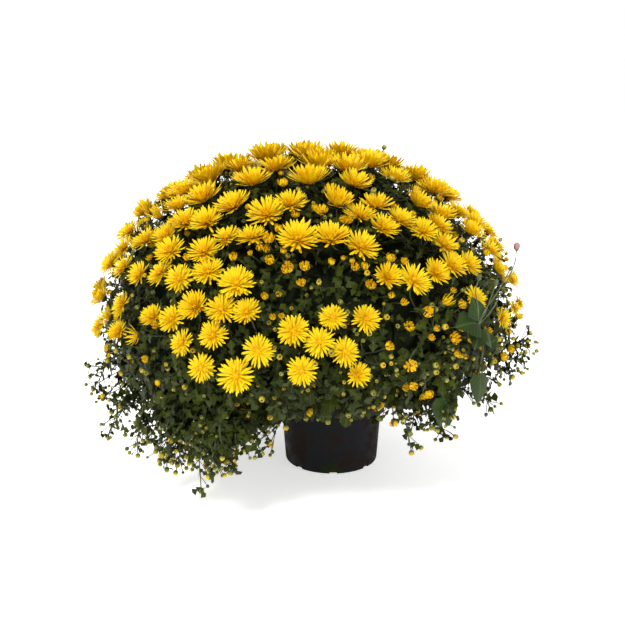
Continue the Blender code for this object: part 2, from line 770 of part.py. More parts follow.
def leaf_details(root, normal, draw):
    """Direction, facing and size of a leaf that grows out of a core's triangle."""
    side = Vector((-root.y, root.x - DOME_X, 0)).normalized()
    down = side.cross(normal).normalized()
    if down.z > 0:
        down.negate()
    high = root.z > DOME_LEVEL + 0.08
    swing = draw.uniform(-math.pi, math.pi) if high else draw.uniform(-1.3, 1.3)
    tangent = down * math.cos(swing) + side * math.sin(swing)
    spread = math.radians(draw.uniform(20, 62))
    if root.z < SKIRT_LEVEL:
        tangent = (side * math.sin(swing) * 0.4 - UP).normalized()
        spread = math.radians(draw.uniform(45, 75))
    out = outward(root) if root.z > DOME_LEVEL else (outward(root) + normal * 0.3).normalized()
    along = (out * math.cos(spread) + tangent * math.sin(spread)).normalized()
    facing = (normal * 0.5 + UP * 0.7 - tangent * 0.2).normalized()
    return along, facing, draw.uniform(0.8, 1.1)


def bud_details(root, normal, draw):
    """Place of the tip of a bud's twig: at the level of the blooms or a little past it."""
    lean = Vector([draw.uniform(-0.35, 0.35) for _ in range(3)]) + UP * 0.15
    way = (outward(root) + normal * 0.3 + lean).normalized()
    return (root + way * draw.uniform(*TWIG_LENGTH),)


def trailing_details(root, normal, draw):
    """Bend and tip of a long twig that hangs out over the pot's side."""
    out = Vector((root.x - DOME_X, root.y, 0)).normalized()
    bend = root + out * draw.uniform(*TRAIL_OUT) - UP * draw.uniform(*TRAIL_OUT) * 0.4
    tip = bend + out * draw.uniform(*TRAIL_OUT) * 0.5 - UP * draw.uniform(*TRAIL_DOWN)
    tip.z = max(tip.z, TRAIL_LOWEST)
    return bend, tip


def grow_on(core, number, wanted, grow, details, zones, placed, draw):
    """Let leaves or buds grow from free triangles of a core where they miss everything else."""
    grown = 0
    for index, root in free_places(core, draw, zones):
        normal = core.facet(index)[1]
        for _ in range(5):
            drawn = details(root, normal, draw)
            ahead = drawn[0] if grow is grow_leaf else (drawn[0] - root).normalized()
            if ahead.dot(normal) < 0.3:
                continue
            points = ring(root + normal * ROOT_ROOM, normal, ROOT_RADIUS, 3)
            faces = grow(points, (0, 1, 2), *drawn)
            if not in_sector(number, points) or placed.blocked(points, faces):
                continue
            core.growths[index] = (grow, root, drawn)
            room, rooted_faces = core.rooted(index)
            if not crossing_faces(*core.shape()) and not placed.blocked(room, rooted_faces[ROOT_FACES:], False):
                placed.add(room, rooted_faces[ROOT_FACES:])
                grown += 1
                break
            del core.growths[index]
        if grown == wanted:
            return


def grow_spike(points, corners, tip):
    """Faces of a spike over a whole triangle."""
    points.append(tip)
    return [(corners[k], corners[(k + 1) % 3], len(points) - 1) for k in range(3)]


def raise_spikes(core, placed, draw):
    """Raise the triangles left free to leaning spikes, the tips of crowded leaves."""
    for index, corners in enumerate(core.triangles):
        if index in core.growths:
            continue
        middle, normal = core.facet(index)
        corner = core.points[draw.choice(corners)]
        height = draw.uniform(*SPIKE)
        lean = draw.uniform(0.1, 0.5)
        for share in (1.0, 0.6, 0.35):
            tip = middle.lerp(corner, lean) + normal * height * share
            whole = [core.points[k] for k in corners]
            upper = [point.lerp(tip, 0.2) for point in whole]
            faces = grow_spike(whole, (0, 1, 2), middle.lerp(tip, 1.06))
            grow_spike(upper, (0, 1, 2), tip)
            if not placed.blocked(whole, faces, by_cores=False) and not placed.blocked(upper, faces):
                core.growths[index] = (grow_spike, None, (tip,))
                break


def lower_spikes(core):
    """Take down the spike nearest to any two faces of a body that still cross."""
    while True:
        points, faces = core.shape()
        crossing = crossing_faces(points, faces)
        spikes = [index for index, growth in core.growths.items() if growth and growth[0] is grow_spike]
        if not crossing or not spikes:
            return
        place = sum((points[k] for k in faces[crossing[0]]), Vector()) / 3
        del core.growths[min(spikes, key=lambda index: (core.facet(index)[0] - place).length)]


def make_foliage(cores, placed, green):
    """The leafy branches and the crown, each one body of core, stem, leaves and buds."""
    draw = random.Random(SEED + 2)
    for core in cores:
        placed.add(*core.shape(), is_core=True)
    for number, core in enumerate(cores):
        branch = number if number < BRANCHES else None
        leaves, buds = (LEAVES_IN_CROWN, BUDS_IN_CROWN) if branch is None else (LEAVES_A_BRANCH, BUDS_A_BRANCH)
        zones = ((0, 1),) if branch is None else LEAF_ZONES
        grow_on(core, branch, leaves, grow_leaf, leaf_details, zones, placed, draw)
        zones = ((0, 1),) if branch is None else BUD_ZONES
        grow_on(core, branch, buds, grow_bud, bud_details, zones, placed, draw)
        if branch in TRAILING:
            grow_on(core, branch, TRAILING[branch], grow_bud, trailing_details, TRAIL_ZONES, placed, draw)
    for core in cores:
        raise_spikes(core, placed, draw)
        lower_spikes(core)
        solid(core.name, *core.shape(), green)


# Weed

def outside(column, row, share=WEED_ABOVE):
    """Place seen in the view, a little outside the bloom dome."""
    middle = Vector((DOME_X, 0, DOME_LEVEL))
    return middle + (sighted(column, row) - middle) * share


def make_weed(placed, green):
    """A weed out of the same pot: a stem up the right side outside the flowers, broad leaves, closed heads."""
    foot = Vector((*WEED_FOOT, HOLE_FLOOR + GAP))
    path = [foot] + [Vector(place) for place in WEED_UNDER] + [outside(*place) for place in WEED_BENDS]
    shapes = [tube(path, [WEED_RADIUS] * len(path), 4)]
    for bend, head in WEED_HEADS:
        corners = ring(path[-1], outside(*bend) - path[-1], WEED_RADIUS * 0.8, 3)
        faces = grow_bud(corners, (0, 1, 2), outside(*bend), outside(*head))
        shapes.append((corners, faces + [(0, 1, 2)]))
    for column, row, turn in WEED_LEAVES:
        place = outside(column, row)
        root = min(path[2:], key=lambda bend: (bend - place).length)
        out = outward(place)
        side = UP.cross(out).normalized()
        above = out.cross(side)
        angle = math.radians(turn)
        along = (side * math.cos(angle) + above * math.sin(angle) + out * 0.35).normalized()
        corners = ring(root, along, WEED_RADIUS * 0.7, 3)
        faces = grow_leaf(corners, (0, 1, 2), along, (out + UP * 0.3).normalized(), WEED_LEAF_SIZE, WEED_OUTLINE)
        shapes.append((corners, faces + [(0, 1, 2)]))
    for shape in shapes:
        placed.add(*shape)
    weed = solid("weed_shoot", *shapes[0], green)
    combine(weed, shapes[1:], "UNION")


# Pot and soil

def turned(profile, sides):
    """A solid turned round the Z axis from a profile that starts and ends on the axis."""
    points = []
    faces = []
    for radius, height in profile[1:-1]:
        angles = [math.tau * k / sides for k in range(sides)]
        points += [Vector((radius * math.cos(a), radius * math.sin(a), height)) for a in angles]
        if len(points) > sides:
            faces += band(range(len(points) - 2 * sides, len(points) - sides), range(len(points) - sides, len(points)))
    rings = len(points)
    points += [Vector((0, 0, profile[0][1])), Vector((0, 0, profile[-1][1]))]
    for k in range(sides):
        n = (k + 1) % sides
        faces += [(k, n, rings), (rings - sides + k, rings - sides + n, rings + 1)]
    return points, faces


def inner_radius(height):
    """Inner radius of the pot's wall at a height."""
    return POT_BASE - POT_WALL + (POT_TOP - POT_BASE) * height / (POT_HEIGHT - POT_LIP_HEIGHT)


def make_pot(black, placed):
    """A thin-walled tapered pot with a stepped lip and drain slots round its foot."""
    shoulder = POT_HEIGHT - POT_LIP_HEIGHT
    profile = (
        (0, 0), (POT_BASE, 0), (POT_TOP, shoulder), (POT_LIP, shoulder), (POT_LIP, POT_HEIGHT),
        (POT_LIP - POT_WALL, POT_HEIGHT), (inner_radius(shoulder), shoulder - POT_WALL),
        (inner_radius(POT_FOOT), POT_FOOT), (0, POT_FOOT),
    )
    pot = solid("pot", *turned(profile, POT_SIDES), black)
    placed.add(*turned(profile, POT_SIDES))
    wide, deep, tall = DRAIN_SIZE
    cutters = []
    for k in range(DRAIN_SLOTS):
        azimuth = math.tau * (k + 0.03) / DRAIN_SLOTS
        out = Vector((math.sin(azimuth), -math.cos(azimuth), 0))
        side = Vector((math.cos(azimuth), math.sin(azimuth), 0))
        corners = []
        for height in (-1 * MM, tall):
            for u, w in ((-1, -1), (1, -1), (1, 1), (-1, 1)):
                place = out * (POT_BASE - 1 * MM) + side * u * wide / 2 + out * w * deep / 2
                corners.append(place + UP * height)
        cutters.append((corners, band(range(4), range(4, 8)) + [(0, 1, 2, 3), (4, 5, 6, 7)]))
    combine(pot, cutters, "DIFFERENCE")
    pot.data.shade_smooth()
    pot.data.set_sharp_from_angle(angle=math.radians(35))


def make_soil(brown):
    """The soil that fills the pot, with an uneven top and a plain hole for each main stem."""
    draw = random.Random(SEED + 3)
    floor = POT_FOOT + GAP
    profile = (
        (0, floor), (inner_radius(floor) - 2 * GAP, floor), (inner_radius(SOIL_TOP) - 2 * GAP, SOIL_TOP),
        (SOIL_RING, SOIL_TOP + SOIL_UNEVEN / 2), (0, SOIL_TOP + SOIL_UNEVEN),
    )
    points, faces = turned(profile, SOIL_SIDES)
    for p in points:
        p.z += draw.uniform(-SOIL_UNEVEN, SOIL_UNEVEN) / 2 if p.z > SOIL_TOP else 0
    soil = solid("soil", points, faces, brown)
    feet = [stem_foot(number) for number in [None, *range(BRANCHES)]]
    feet.append(Vector((*WEED_FOOT, HOLE_FLOOR + GAP)))
    holes = [tube([foot - UP * GAP, foot + UP * (SOIL_TOP - HOLE_FLOOR + 0.02)], [HOLE_RADIUS] * 2, 6)
             for foot in feet]
    combine(soil, holes, "DIFFERENCE")


def main():
    """Build every piece: the pot and soil, then the sprays, which the foliage keeps clear of."""
    clear_scene()
    yellow = material("petals", (0.90, 0.62, 0.02), 0.6)
    green = material("leaves", (0.05, 0.10, 0.03), 0.6)
    black = material("pot_plastic", (0.02, 0.022, 0.028), 0.45)
    brown = material("soil", (0.06, 0.04, 0.025), 0.95)
    pale_green = material("weed", (0.10, 0.16, 0.06), 0.6)
    placed = Placed()
    make_pot(black, placed)
    make_soil(brown)
    cores = [branch_core(number) for number in range(BRANCHES)] + [crown_core()]
    make_weed(placed, pale_green)
    make_sprays(cores, placed, yellow)
    make_foliage(cores, placed, green)


main()
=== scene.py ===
"""Looks of the pot chrysanthemum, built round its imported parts: metres, +Z up, the front facing -Y."""

import math

import bpy
import numpy as np
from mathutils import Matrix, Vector


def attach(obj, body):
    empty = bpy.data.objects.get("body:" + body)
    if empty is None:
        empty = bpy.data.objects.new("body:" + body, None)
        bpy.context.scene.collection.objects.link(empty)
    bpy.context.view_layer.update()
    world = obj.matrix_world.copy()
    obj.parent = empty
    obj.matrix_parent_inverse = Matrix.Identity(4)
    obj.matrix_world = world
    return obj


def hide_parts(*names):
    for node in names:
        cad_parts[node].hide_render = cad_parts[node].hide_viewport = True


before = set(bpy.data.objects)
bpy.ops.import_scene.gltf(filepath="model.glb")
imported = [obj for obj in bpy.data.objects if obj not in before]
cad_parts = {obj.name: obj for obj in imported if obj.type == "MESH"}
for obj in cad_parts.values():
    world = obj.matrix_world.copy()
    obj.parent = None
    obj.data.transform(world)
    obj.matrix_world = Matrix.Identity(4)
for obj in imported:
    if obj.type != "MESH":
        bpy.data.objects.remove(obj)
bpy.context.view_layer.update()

MM = 0.001
UP = np.array([0.0, 0.0, 1.0])
GOLDEN = math.pi * (3 - math.sqrt(5))
GOLDEN_SHARE = 0.618
SEED = 7

# The dome as the part's source has it: its middle line, its widest level, and reach, rise and drop
DOME_X = -0.039
DOME_LEVEL = 0.252
BLOOM_DOME = (0.338, 0.262, 0.115)
CORE_DOME = (0.278, 0.205, 0.080)
DOME_MIDDLE = np.array([DOME_X, 0.0, DOME_LEVEL])
BRANCHES = 8
HALF_SECTOR = math.radians(22.2)
CORE_EDGE = math.radians(62)
# The side where the foliage hangs lowest, its reach, and how much deeper and fuller the dome is there
LOW_SIDE = math.radians(302)
LOW_REACH = math.radians(75)
LOW_SHARE = 0.65
LOW_FULL = 0.16

# The photograph's view
EYE = np.array([-0.032, -1.30, 0.578])
AIM = np.array([-0.032, 0.0, 0.252])
FOCAL = 813
PICTURE = 625
SENSOR = 36

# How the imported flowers, leaves and twigs are made, to find them by
BLOOM_RIM = 16
BLOOM_MIDDLE = 2.6 * MM
BLOOM_TIP = 0.87
CUP_RIM = 6
CUP_EDGE = (5.22 * MM, 8.28 * MM)
CUP_MIDDLE = 1.5 * MM
CUP_RADIUS = 8.5 * MM
NECK_DEPTH = 6.5 * MM
JOINT_POINTS = 12
LEAF_RIM = 9
LEAF_LINKS = 4
LEAF_THICK = 2.31 * MM
LEAF_MIDDLE = 33 * MM
LEAF_LENGTH = 62 * MM
LEAF_TIP = 29 * MM
LEAF_ARCH = 7 * MM
SHORTEST_TWIG = 4
FIT = 0.05 * MM


# Arrays of directions

def unit(v):
    """Directions of length one."""
    return v / np.linalg.norm(v, axis=-1, keepdims=True)


def square_to(v, axis):
    """The direction of v's part that is square to an axis of length one."""
    return unit(v - axis * (v * axis).sum(-1, keepdims=True))


def sides_of(axis):
    """Two directions square to each axis and to each other."""
    first = square_to(np.broadcast_to([0.31, 0.17, 0.93], axis.shape), axis)
    return first, np.cross(axis, first)


def spun(first, second, angle):
    """Directions at angles from the first towards the second of two directions square to each other."""
    return np.cos(angle)[..., None] * first + np.sin(angle)[..., None] * second


def level_way(azimuth):
    """Level direction at an azimuth, which runs from the front round by the right."""
    return np.array([math.sin(azimuth), -math.cos(azimuth), 0])


def dome_point(azimuth, lift, dome):
    """Points of a dome: reach times the lift's cosine out, rise or drop times its sine up or down.

    The drop grows by a smooth hump of the azimuth round the low side, and below the widest level the reach
    grows by that hump times the square of the lift's sine.
    """
    reach, rise, drop = dome
    aside = np.abs((azimuth - LOW_SIDE + math.pi) % math.tau - math.pi)
    hump = np.cos(np.minimum(aside / LOW_REACH, 1) * math.pi / 2) ** 2
    drop = drop * (1 + LOW_SHARE * hump)
    full = np.where(lift < 0, LOW_FULL * hump * np.sin(lift) ** 2, 0)
    spread = reach * np.cos(lift) * (1 + full)
    height = DOME_LEVEL + np.where(lift > 0, rise, drop) * np.sin(lift)
    return np.stack([DOME_X + spread * np.sin(azimuth), -spread * np.cos(azimuth), height], axis=-1)


def outward(points):
    """Outward directions of the bloom dome, kept from turning far below level."""
    reach, rise, _ = BLOOM_DOME
    x, y, z = np.moveaxis(points, -1, 0)
    steep = np.maximum(z - DOME_LEVEL, -0.02) / rise ** 2
    return unit(np.stack([(x - DOME_X) / reach ** 2, y / reach ** 2, steep], axis=-1))


def from_middle(points, share):
    """Points moved to a share of their way from the dome's middle."""
    return DOME_MIDDLE + (points - DOME_MIDDLE) * share


# Surfaces

def turns(sides):
    """Even angles round a ring."""
    return np.arange(sides) * math.tau / sides


def tube_faces(rings, sides):
    """Triangles between successive rings of points, and a fan over the first and the last ring."""
    level, k = np.meshgrid(np.arange(rings - 1), np.arange(sides), indexing="ij")
    a = level * sides + k
    b = level * sides + (k + 1) % sides
    walls = np.stack([a, b, b + sides, a, b + sides, a + sides], axis=-1).reshape(-1, 3)
    fan = np.stack([np.zeros(sides - 2, int), np.arange(2, sides), np.arange(1, sides - 1)], axis=-1)
    last = (rings - 1) * sides
    return np.concatenate([walls, fan, last + fan[:, ::-1]])


def closed(points, place=None):
    """Closed bodies from the points of their rings: points, faces and pattern places.

    Unless others are given, a point's place is its share along the rings and its share of a turn.
    """
    number, rings, sides = points.shape[:3]
    if place is None:
        grid = np.meshgrid(np.linspace(0, 1, rings), turns(sides) / math.tau, indexing="ij")
        place = np.stack(grid, axis=-1)
    return points.reshape(number, rings * sides, 3), tube_faces(rings, sides), place.reshape(-1, 2)


def blades(root, along, facing, length, width, slope, profile, fold):
    """Thin closed blades, such as petals and leaves, three-sided in section.

    The middle line leaves the root in the direction along, and its slope towards facing runs evenly from the
    first to the second value. A profile row gives a share of the length, the half width there as a share of
    the width, and how far the edge is swept forwards. The edges lie above the middle line by fold times the
    half width, so a negative fold makes a ridge and a positive one a keel.
    """
    share, half, sweep = np.array(profile).T
    across = unit(np.cross(facing, along))
    facing = np.cross(along, across)
    step = np.diff(share, prepend=0.0)
    start, end = slope[:, :1], slope[:, 1:]
    between = start + (end - start) * (share - step / 2)
    run = (np.cumsum(np.cos(between) * step, axis=1) * length[:, None])[..., None]
    rise = (np.cumsum(np.sin(between) * step, axis=1) * length[:, None])[..., None]
    line = root[:, None] + run * along[:, None] + rise * facing[:, None]
    tilt = (start + (end - start) * share)[..., None]
    ahead = np.cos(tilt) * along[:, None] + np.sin(tilt) * facing[:, None]
    above = np.cos(tilt) * facing[:, None] - np.sin(tilt) * along[:, None]
    reach = (half * width[:, None])[..., None]
    edge = sweep[:, None] * ahead + fold * above
    side = across[:, None]
    points = np.stack([line + reach * (edge + side), line, line + reach * (edge - side)], axis=2)
    place = np.broadcast_arrays(share[:, None], np.array([-1.0, 0.0, 1.0]) * half[:, None])
    return closed(points, np.stack(place, axis=-1))


def tubes(path, radius, sides):
    """Closed round tubes: at each point of a path, a ring of the given radius square to the path there."""
    first, second = sides_of(unit(np.gradient(path, axis=1)))
    ring = spun(first[:, :, None], second[:, :, None], turns(sides))
    wide = np.broadcast_to(radius, path.shape[:2])[..., None, None]
    return closed(path[:, :, None] + wide * ring)


def turned(origin, axis, size, profile, sides, ribs=0, depth=0.0):
    """Closed bodies turned from a profile of radius and height, in shares of a size, round an axis.

    With ribs, each radius is multiplied by one plus the depth times the cosine of the ribs times the angle.
    """
    radius, height = np.array(profile).T
    first, second = sides_of(axis)
    ring = spun(first[:, None], second[:, None], turns(sides))
    wide = radius[:, None, None] * (1 + depth * np.cos(ribs * turns(sides)))[:, None]
    body = wide * ring[:, None] + height[:, None, None] * axis[:, None, None]
    return closed(origin[:, None, None] + body * np.reshape(size, (-1, 1, 1, 1)))


def turned_one(origin, axis, size, profile, sides, ribs=0, depth=0.0):
    """One body turned round one axis."""
    return turned(origin[None], axis[None], [size], profile, sides, ribs, depth)


def curved(start, pull, end, count):
    """Points of curves that leave their starts towards a pull point and reach their ends from there."""
    t = np.linspace(0, 1, count)[:, None]
    return (1 - t) ** 2 * start[:, None] + 2 * t * (1 - t) * pull[:, None] + t ** 2 * end[:, None]


def along_line(points, count):
    """Even points on a smooth line through the given ones."""
    share = np.linspace(0, 1, len(points))
    fine = np.linspace(0, 1, count)
    line = np.stack([np.interp(fine, share, points[:, k]) for k in range(3)], axis=1)
    for _ in range(3):
        line[1:-1] = (line[:-2] + 2 * line[1:-1] + line[2:]) / 4
    return line


class Piece:
    """Closed bodies gathered for one object, with their finishes, pattern places and tints."""

    def __init__(self, name):
        self.name = name
        self.finishes = []
        self.batches = []
        self.count = 0

    def add(self, shape, finish, tint=0.5):
        """Add a batch of like bodies, each turned to face outwards."""
        points, faces, place = shape
        number, wide = points.shape[:2]
        if number == 0:
            return
        corners = points[:, faces]
        volume = (np.cross(corners[:, :, 0], corners[:, :, 1]) * corners[:, :, 2]).sum((1, 2))
        every = np.repeat(faces[None], number, axis=0)
        every[volume < 0] = every[volume < 0][:, :, ::-1]
        every = every + (self.count + np.arange(number) * wide)[:, None, None]
        if finish not in self.finishes:
            self.finishes.append(finish)
        kind = np.full(number * len(faces), self.finishes.index(finish))
        tints = np.repeat(np.broadcast_to(tint, number), wide)
        places = np.broadcast_to(place, (number, wide, 2)).reshape(-1, 2)
        self.batches.append((points.reshape(-1, 3), every.reshape(-1, 3), kind, places, tints))
        self.count += number * wide

    def make(self, sharp=50):
        """The object: one mesh at the origin with a map of pattern places and an attribute of tints."""
        points, faces, kinds, places, tints = (np.concatenate(group) for group in zip(*self.batches))
        mesh = bpy.data.meshes.new(self.name)
        mesh.vertices.add(len(points))
        mesh.vertices.foreach_set("co", points.ravel())
        mesh.loops.add(faces.size)
        mesh.loops.foreach_set("vertex_index", faces.ravel().astype(np.int32))
        mesh.polygons.add(len(faces))
        mesh.polygons.foreach_set("loop_start", np.arange(len(faces)) * 3)
        mesh.polygons.foreach_set("material_index", kinds)
        mesh.update(calc_edges=True)
        mesh.uv_layers.new(name="pattern").data.foreach_set("uv", places[faces.ravel()].ravel())
        mesh.attributes.new("tint", "FLOAT", "POINT").data.foreach_set("value", tints.astype(float))
        for finish in self.finishes:
            mesh.materials.append(finish)
        mesh.shade_smooth()
        mesh.set_sharp_from_angle(angle=math.radians(sharp))
        made = bpy.data.objects.new(self.name, mesh)
        bpy.context.scene.collection.objects.link(made)
        return made


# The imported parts

def joined_points(node):
    """A node's points, each once, and for each the numbers of the points that it is joined to."""
    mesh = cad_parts[node].data
    places = np.empty(len(mesh.vertices) * 3, np.float32)
    mesh.vertices.foreach_get("co", places)
    corners = np.empty(len(mesh.loops), np.int32)
    mesh.loops.foreach_get("vertex_index", corners)
    points, number = np.unique(places.reshape(-1, 3), axis=0, return_inverse=True)
    joined = [set() for _ in points]
    for a, b, c in number.ravel()[corners].reshape(-1, 3).tolist():
        joined[a] |= {b, c}
        joined[b] |= {a, c}
        joined[c] |= {a, b}
    return points.astype(float), joined


def find_flowers(node):
    """Centre, facing and radius of a spray's flowers, its joint and its seat.

    A flower's middle is joined to its whole rim and to nothing else. The rim is regular, so the direction in
    which its points spread least is the one that the flower faces. The twelve other points that lie closest
    together are the joint's, and the last three are the foot's.
    """
    points, joined = joined_points(node)
    flowers = []
    others = set(range(len(points)))
    for middle, rim in enumerate(joined):
        away = np.sort(np.linalg.norm(points[list(rim)] - points[middle], axis=1))
        is_cup = len(rim) == CUP_RIM and np.allclose(away[[0, -1]], CUP_EDGE, atol=FIT)
        if len(rim) != BLOOM_RIM and not is_cup:
            continue
        spread = points[list(rim)] - points[list(rim)].mean(0)
        facing = np.linalg.svd(spread)[2][2]
        facing *= np.sign(facing @ outward(points[middle]))
        rise, radius = (CUP_MIDDLE, CUP_RADIUS) if is_cup else (BLOOM_MIDDLE, away[-1] / BLOOM_TIP)
        flowers.append((points[middle] - facing * rise, facing, radius))
        below = set().union(*(joined[k] for k in rim))
        others -= below | rim | {middle}
    rest = points[sorted(others)]
    rest = rest[np.argsort(np.linalg.norm(rest - np.median(rest, axis=0), axis=1))]
    return flowers, rest[:JOINT_POINTS].mean(0), rest[JOINT_POINTS:].mean(0)


def find_leaves(node):
    """Root, direction, facing and share of the full size of a leafy node's leaves.

    A leaf's middle is two points, above and below, that are both joined to the whole outline. The outline's
    own points are joined to four others each, the corners that the leaf grows from to more, and the tip is
    the own point that lies farthest away.
    """
    points, joined = joined_points(node)
    busy = [k for k, others in enumerate(joined) if len(others) > LEAF_RIM]
    leaves = []
    for a in busy:
        for b in busy:
            apart = np.linalg.norm(points[a] - points[b])
            if a < b and apart < LEAF_THICK and len(joined[a] & joined[b]) >= LEAF_RIM:
                middle = (points[a] + points[b]) / 2
                facing = unit(points[a] - points[b])
                facing *= np.sign(facing @ (outward(middle) + UP))
                rim = points[sorted(k for k in joined[a] & joined[b] if len(joined[k]) == LEAF_LINKS)]
                tip = rim[np.argmax(np.linalg.norm(rim - middle, axis=1))] - middle
                tip -= facing * (tip @ facing)
                size = np.linalg.norm(tip) / LEAF_TIP
                root = middle - unit(tip) * LEAF_MIDDLE * size - facing * LEAF_ARCH * size
                leaves.append((root, unit(tip), facing, size))
    return leaves


def find_twigs(node):
    """Paths of a leafy node's bud twigs from the tip down: the middles of the rings of three round them."""
    points, joined = joined_points(node)
    twigs = []
    for tip, ring in enumerate(joined):
        seen = {tip}
        path = [points[tip]]
        while len(ring) == 3:
            path.append(points[sorted(ring)].mean(0))
            seen |= ring
            ring = set().union(*(joined[k] for k in ring)) - seen
        if len(path) > SHORTEST_TWIG:
            twigs.append(np.array(path[:-1]))
    return twigs


# Finishes

def shade(name, **sockets):
    """A material with constants on its Principled shader, as the material, its nodes and its shader."""
    made = bpy.data.materials.new(name)
    made.use_nodes = True
    shader = made.node_tree.nodes["Principled BSDF"]
    for socket, value in sockets.items():
        shader.inputs[socket.replace("_", " ")].default_value = value
    return made, made.node_tree, shader


def feed(tree, socket, value):
    """Give a socket a value or a link."""
    if isinstance(value, bpy.types.NodeSocket):
        tree.links.new(value, socket)
    else:
        socket.default_value = value


def node(tree, kind, **sockets):
    """A node with values or links given by the names of its sockets."""
    made = tree.nodes.new("ShaderNode" + kind)
    for socket, value in sockets.items():
        feed(tree, made.inputs[socket.replace("_", " ")], value)
    return made


def reckon(tree, operation, *values):
    """The result of one sum on numbers."""
    made = tree.nodes.new("ShaderNodeMath")
    made.operation = operation
    for socket, value in zip(made.inputs, values):
        feed(tree, socket, value)
    return made.outputs[0]


def times(tree, first, second):
    """The product of two numbers."""
    return reckon(tree, "MULTIPLY", first, second)


def rising(tree, value, rise, least):
    """A value times a rise, added to the least."""
    return reckon(tree, "MULTIPLY_ADD", value, rise, least)


def waves(tree, place, number):
    """Waves along a place, from the sine of the place times a number."""
    return reckon(tree, "SINE", times(tree, place, number))


def blend(tree, share, first, second, mode="MIX"):
    """Two colours mixed by a share."""
    made = tree.nodes.new("ShaderNodeMix")
    made.data_type = "RGBA"
    made.blend_type = mode
    for number, value in ((0, share), (6, first), (7, second)):
        feed(tree, made.inputs[number], value)
    return made.outputs[2]


def ramp(tree, share, stops):
    """A colour for each share, from stops of place and colour."""
    made = tree.nodes.new("ShaderNodeValToRGB")
    feed(tree, made.inputs[0], share)
    elements = made.color_ramp.elements
    while len(elements) < len(stops):
        elements.new(0.5)
    for element, (place, colour) in zip(elements, stops):
        element.position = place
        element.color = (*colour, 1)
    return made.outputs[0]


def noise(tree, scale, detail=3, rough=0.55):
    """A noise pattern on the object's own metres."""
    here = tree.nodes.new("ShaderNodeTexCoord").outputs["Object"]
    made = node(tree, "TexNoise", Vector=here, Scale=scale, Detail=detail, Roughness=rough)
    return made.outputs["Fac"]


def pattern(tree):
    """The share along a blade or tube, and the place across it."""
    place = tree.nodes.new("ShaderNodeUVMap")
    place.uv_map = "pattern"
    parts = node(tree, "SeparateXYZ", Vector=place.outputs[0])
    return parts.outputs[0], parts.outputs[1]


def tint_of(tree):
    """The tint that each body was given."""
    tint = tree.nodes.new("ShaderNodeAttribute")
    tint.attribute_name = "tint"
    return tint.outputs["Fac"]


def dress(tree, shader, colour, roughness, height=None, relief=0.0):
    """Feed a shader its colour and roughness, and where a height is given its relief in metres."""
    feed(tree, shader.inputs["Base Color"], colour)
    feed(tree, shader.inputs["Roughness"], roughness)
    if height is not None:
        made = node(tree, "Bump", Height=height, Distance=relief)
        tree.links.new(made.outputs[0], shader.inputs["Normal"])


def mottle_group():
    """Group that varies a colour by a coarse noise and a tint, with fine grain for roughness and height."""
    tree = bpy.data.node_groups.new("mottle", "ShaderNodeTree")
    for name in ("Colour", "Light"):
        tree.interface.new_socket(name, in_out="INPUT", socket_type="NodeSocketColor")
    for name in ("Scale", "Tint"):
        tree.interface.new_socket(name, in_out="INPUT", socket_type="NodeSocketFloat")
    for name, kind in (("Colour", "NodeSocketColor"), ("Grain", "NodeSocketFloat")):
        tree.interface.new_socket(name, in_out="OUTPUT", socket_type=kind)
    given = tree.nodes.new("NodeGroupInput").outputs
    made = tree.nodes.new("NodeGroupOutput").inputs
    coarse = noise(tree, given["Scale"], detail=2)
    fine = noise(tree, times(tree, given["Scale"], 9.0), detail=4)
    share = reckon(tree, "ADD", times(tree, coarse, 0.9), times(tree, given["Tint"], 0.7))
    share = node(tree, "Clamp", Value=rising(tree, share, 1.3, -0.5)).outputs[0]
    tree.links.new(blend(tree, share, given["Colour"], given["Light"]), made["Colour"])
    tree.links.new(fine, made["Grain"])
    return tree


MOTTLE = mottle_group()


def mottled(tree, colour, light, scale, tint=0.5):
    """Colour and grain of the mottle group placed in a material."""
    made = tree.nodes.new("ShaderNodeGroup")
    made.node_tree = MOTTLE
    for name, value in (("Colour", colour), ("Light", light), ("Scale", scale), ("Tint", tint)):
        feed(tree, made.inputs[name], (*value, 1) if isinstance(value, tuple) else value)
    return made.outputs["Colour"], made.outputs["Grain"]


# Colours along a petal or bud, as stops of the share of its length and the colour there
FRESH_PETAL = ((0.0, (0.78, 0.34, 0.0)), (0.28, (0.95, 0.58, 0.0)), (0.60, (1.0, 0.73, 0.002)))
YOUNG_PETAL = ((0.0, (0.55, 0.27, 0.004)), (0.4, (0.88, 0.42, 0.0)), (0.9, (0.97, 0.55, 0.001)))
# The last stop of each bud's colours darkens the dimple at its tip: painted shade
RIPE_BUD_AND_SHADE = (
    (0.1, (0.06, 0.10, 0.015)), (0.35, (0.28, 0.30, 0.03)), (0.58, (0.90, 0.62, 0.015)),
    (0.84, (0.85, 0.50, 0.01)), (0.96, (0.07, 0.03, 0.0)),
)
GREEN_BUD_AND_SHADE = (
    (0.1, (0.05, 0.085, 0.02)), (0.45, (0.19, 0.23, 0.05)), (0.72, (0.48, 0.46, 0.07)),
    (0.96, (0.06, 0.06, 0.01)),
)
# Numbers of ridges across the pattern: petal lines, stem ribs, bud scales, and turning marks up the pot
PETAL_LINES = 22.0
STEM_RIBS = 38.0
BUD_SCALES = 50.0
POT_RINGS = 4200.0
# Side veins of a leaf along its length, and how far they slant
VEINS_ALONG = 26.0
VEIN_SLANT = 9.0
MIDRIB = 0.07
MOSS_X = -4 * MM
MUD_COLOUR = (0.020, 0.011, 0.006, 1)
MOSS_COLOUR = (0.012, 0.026, 0.005, 1)


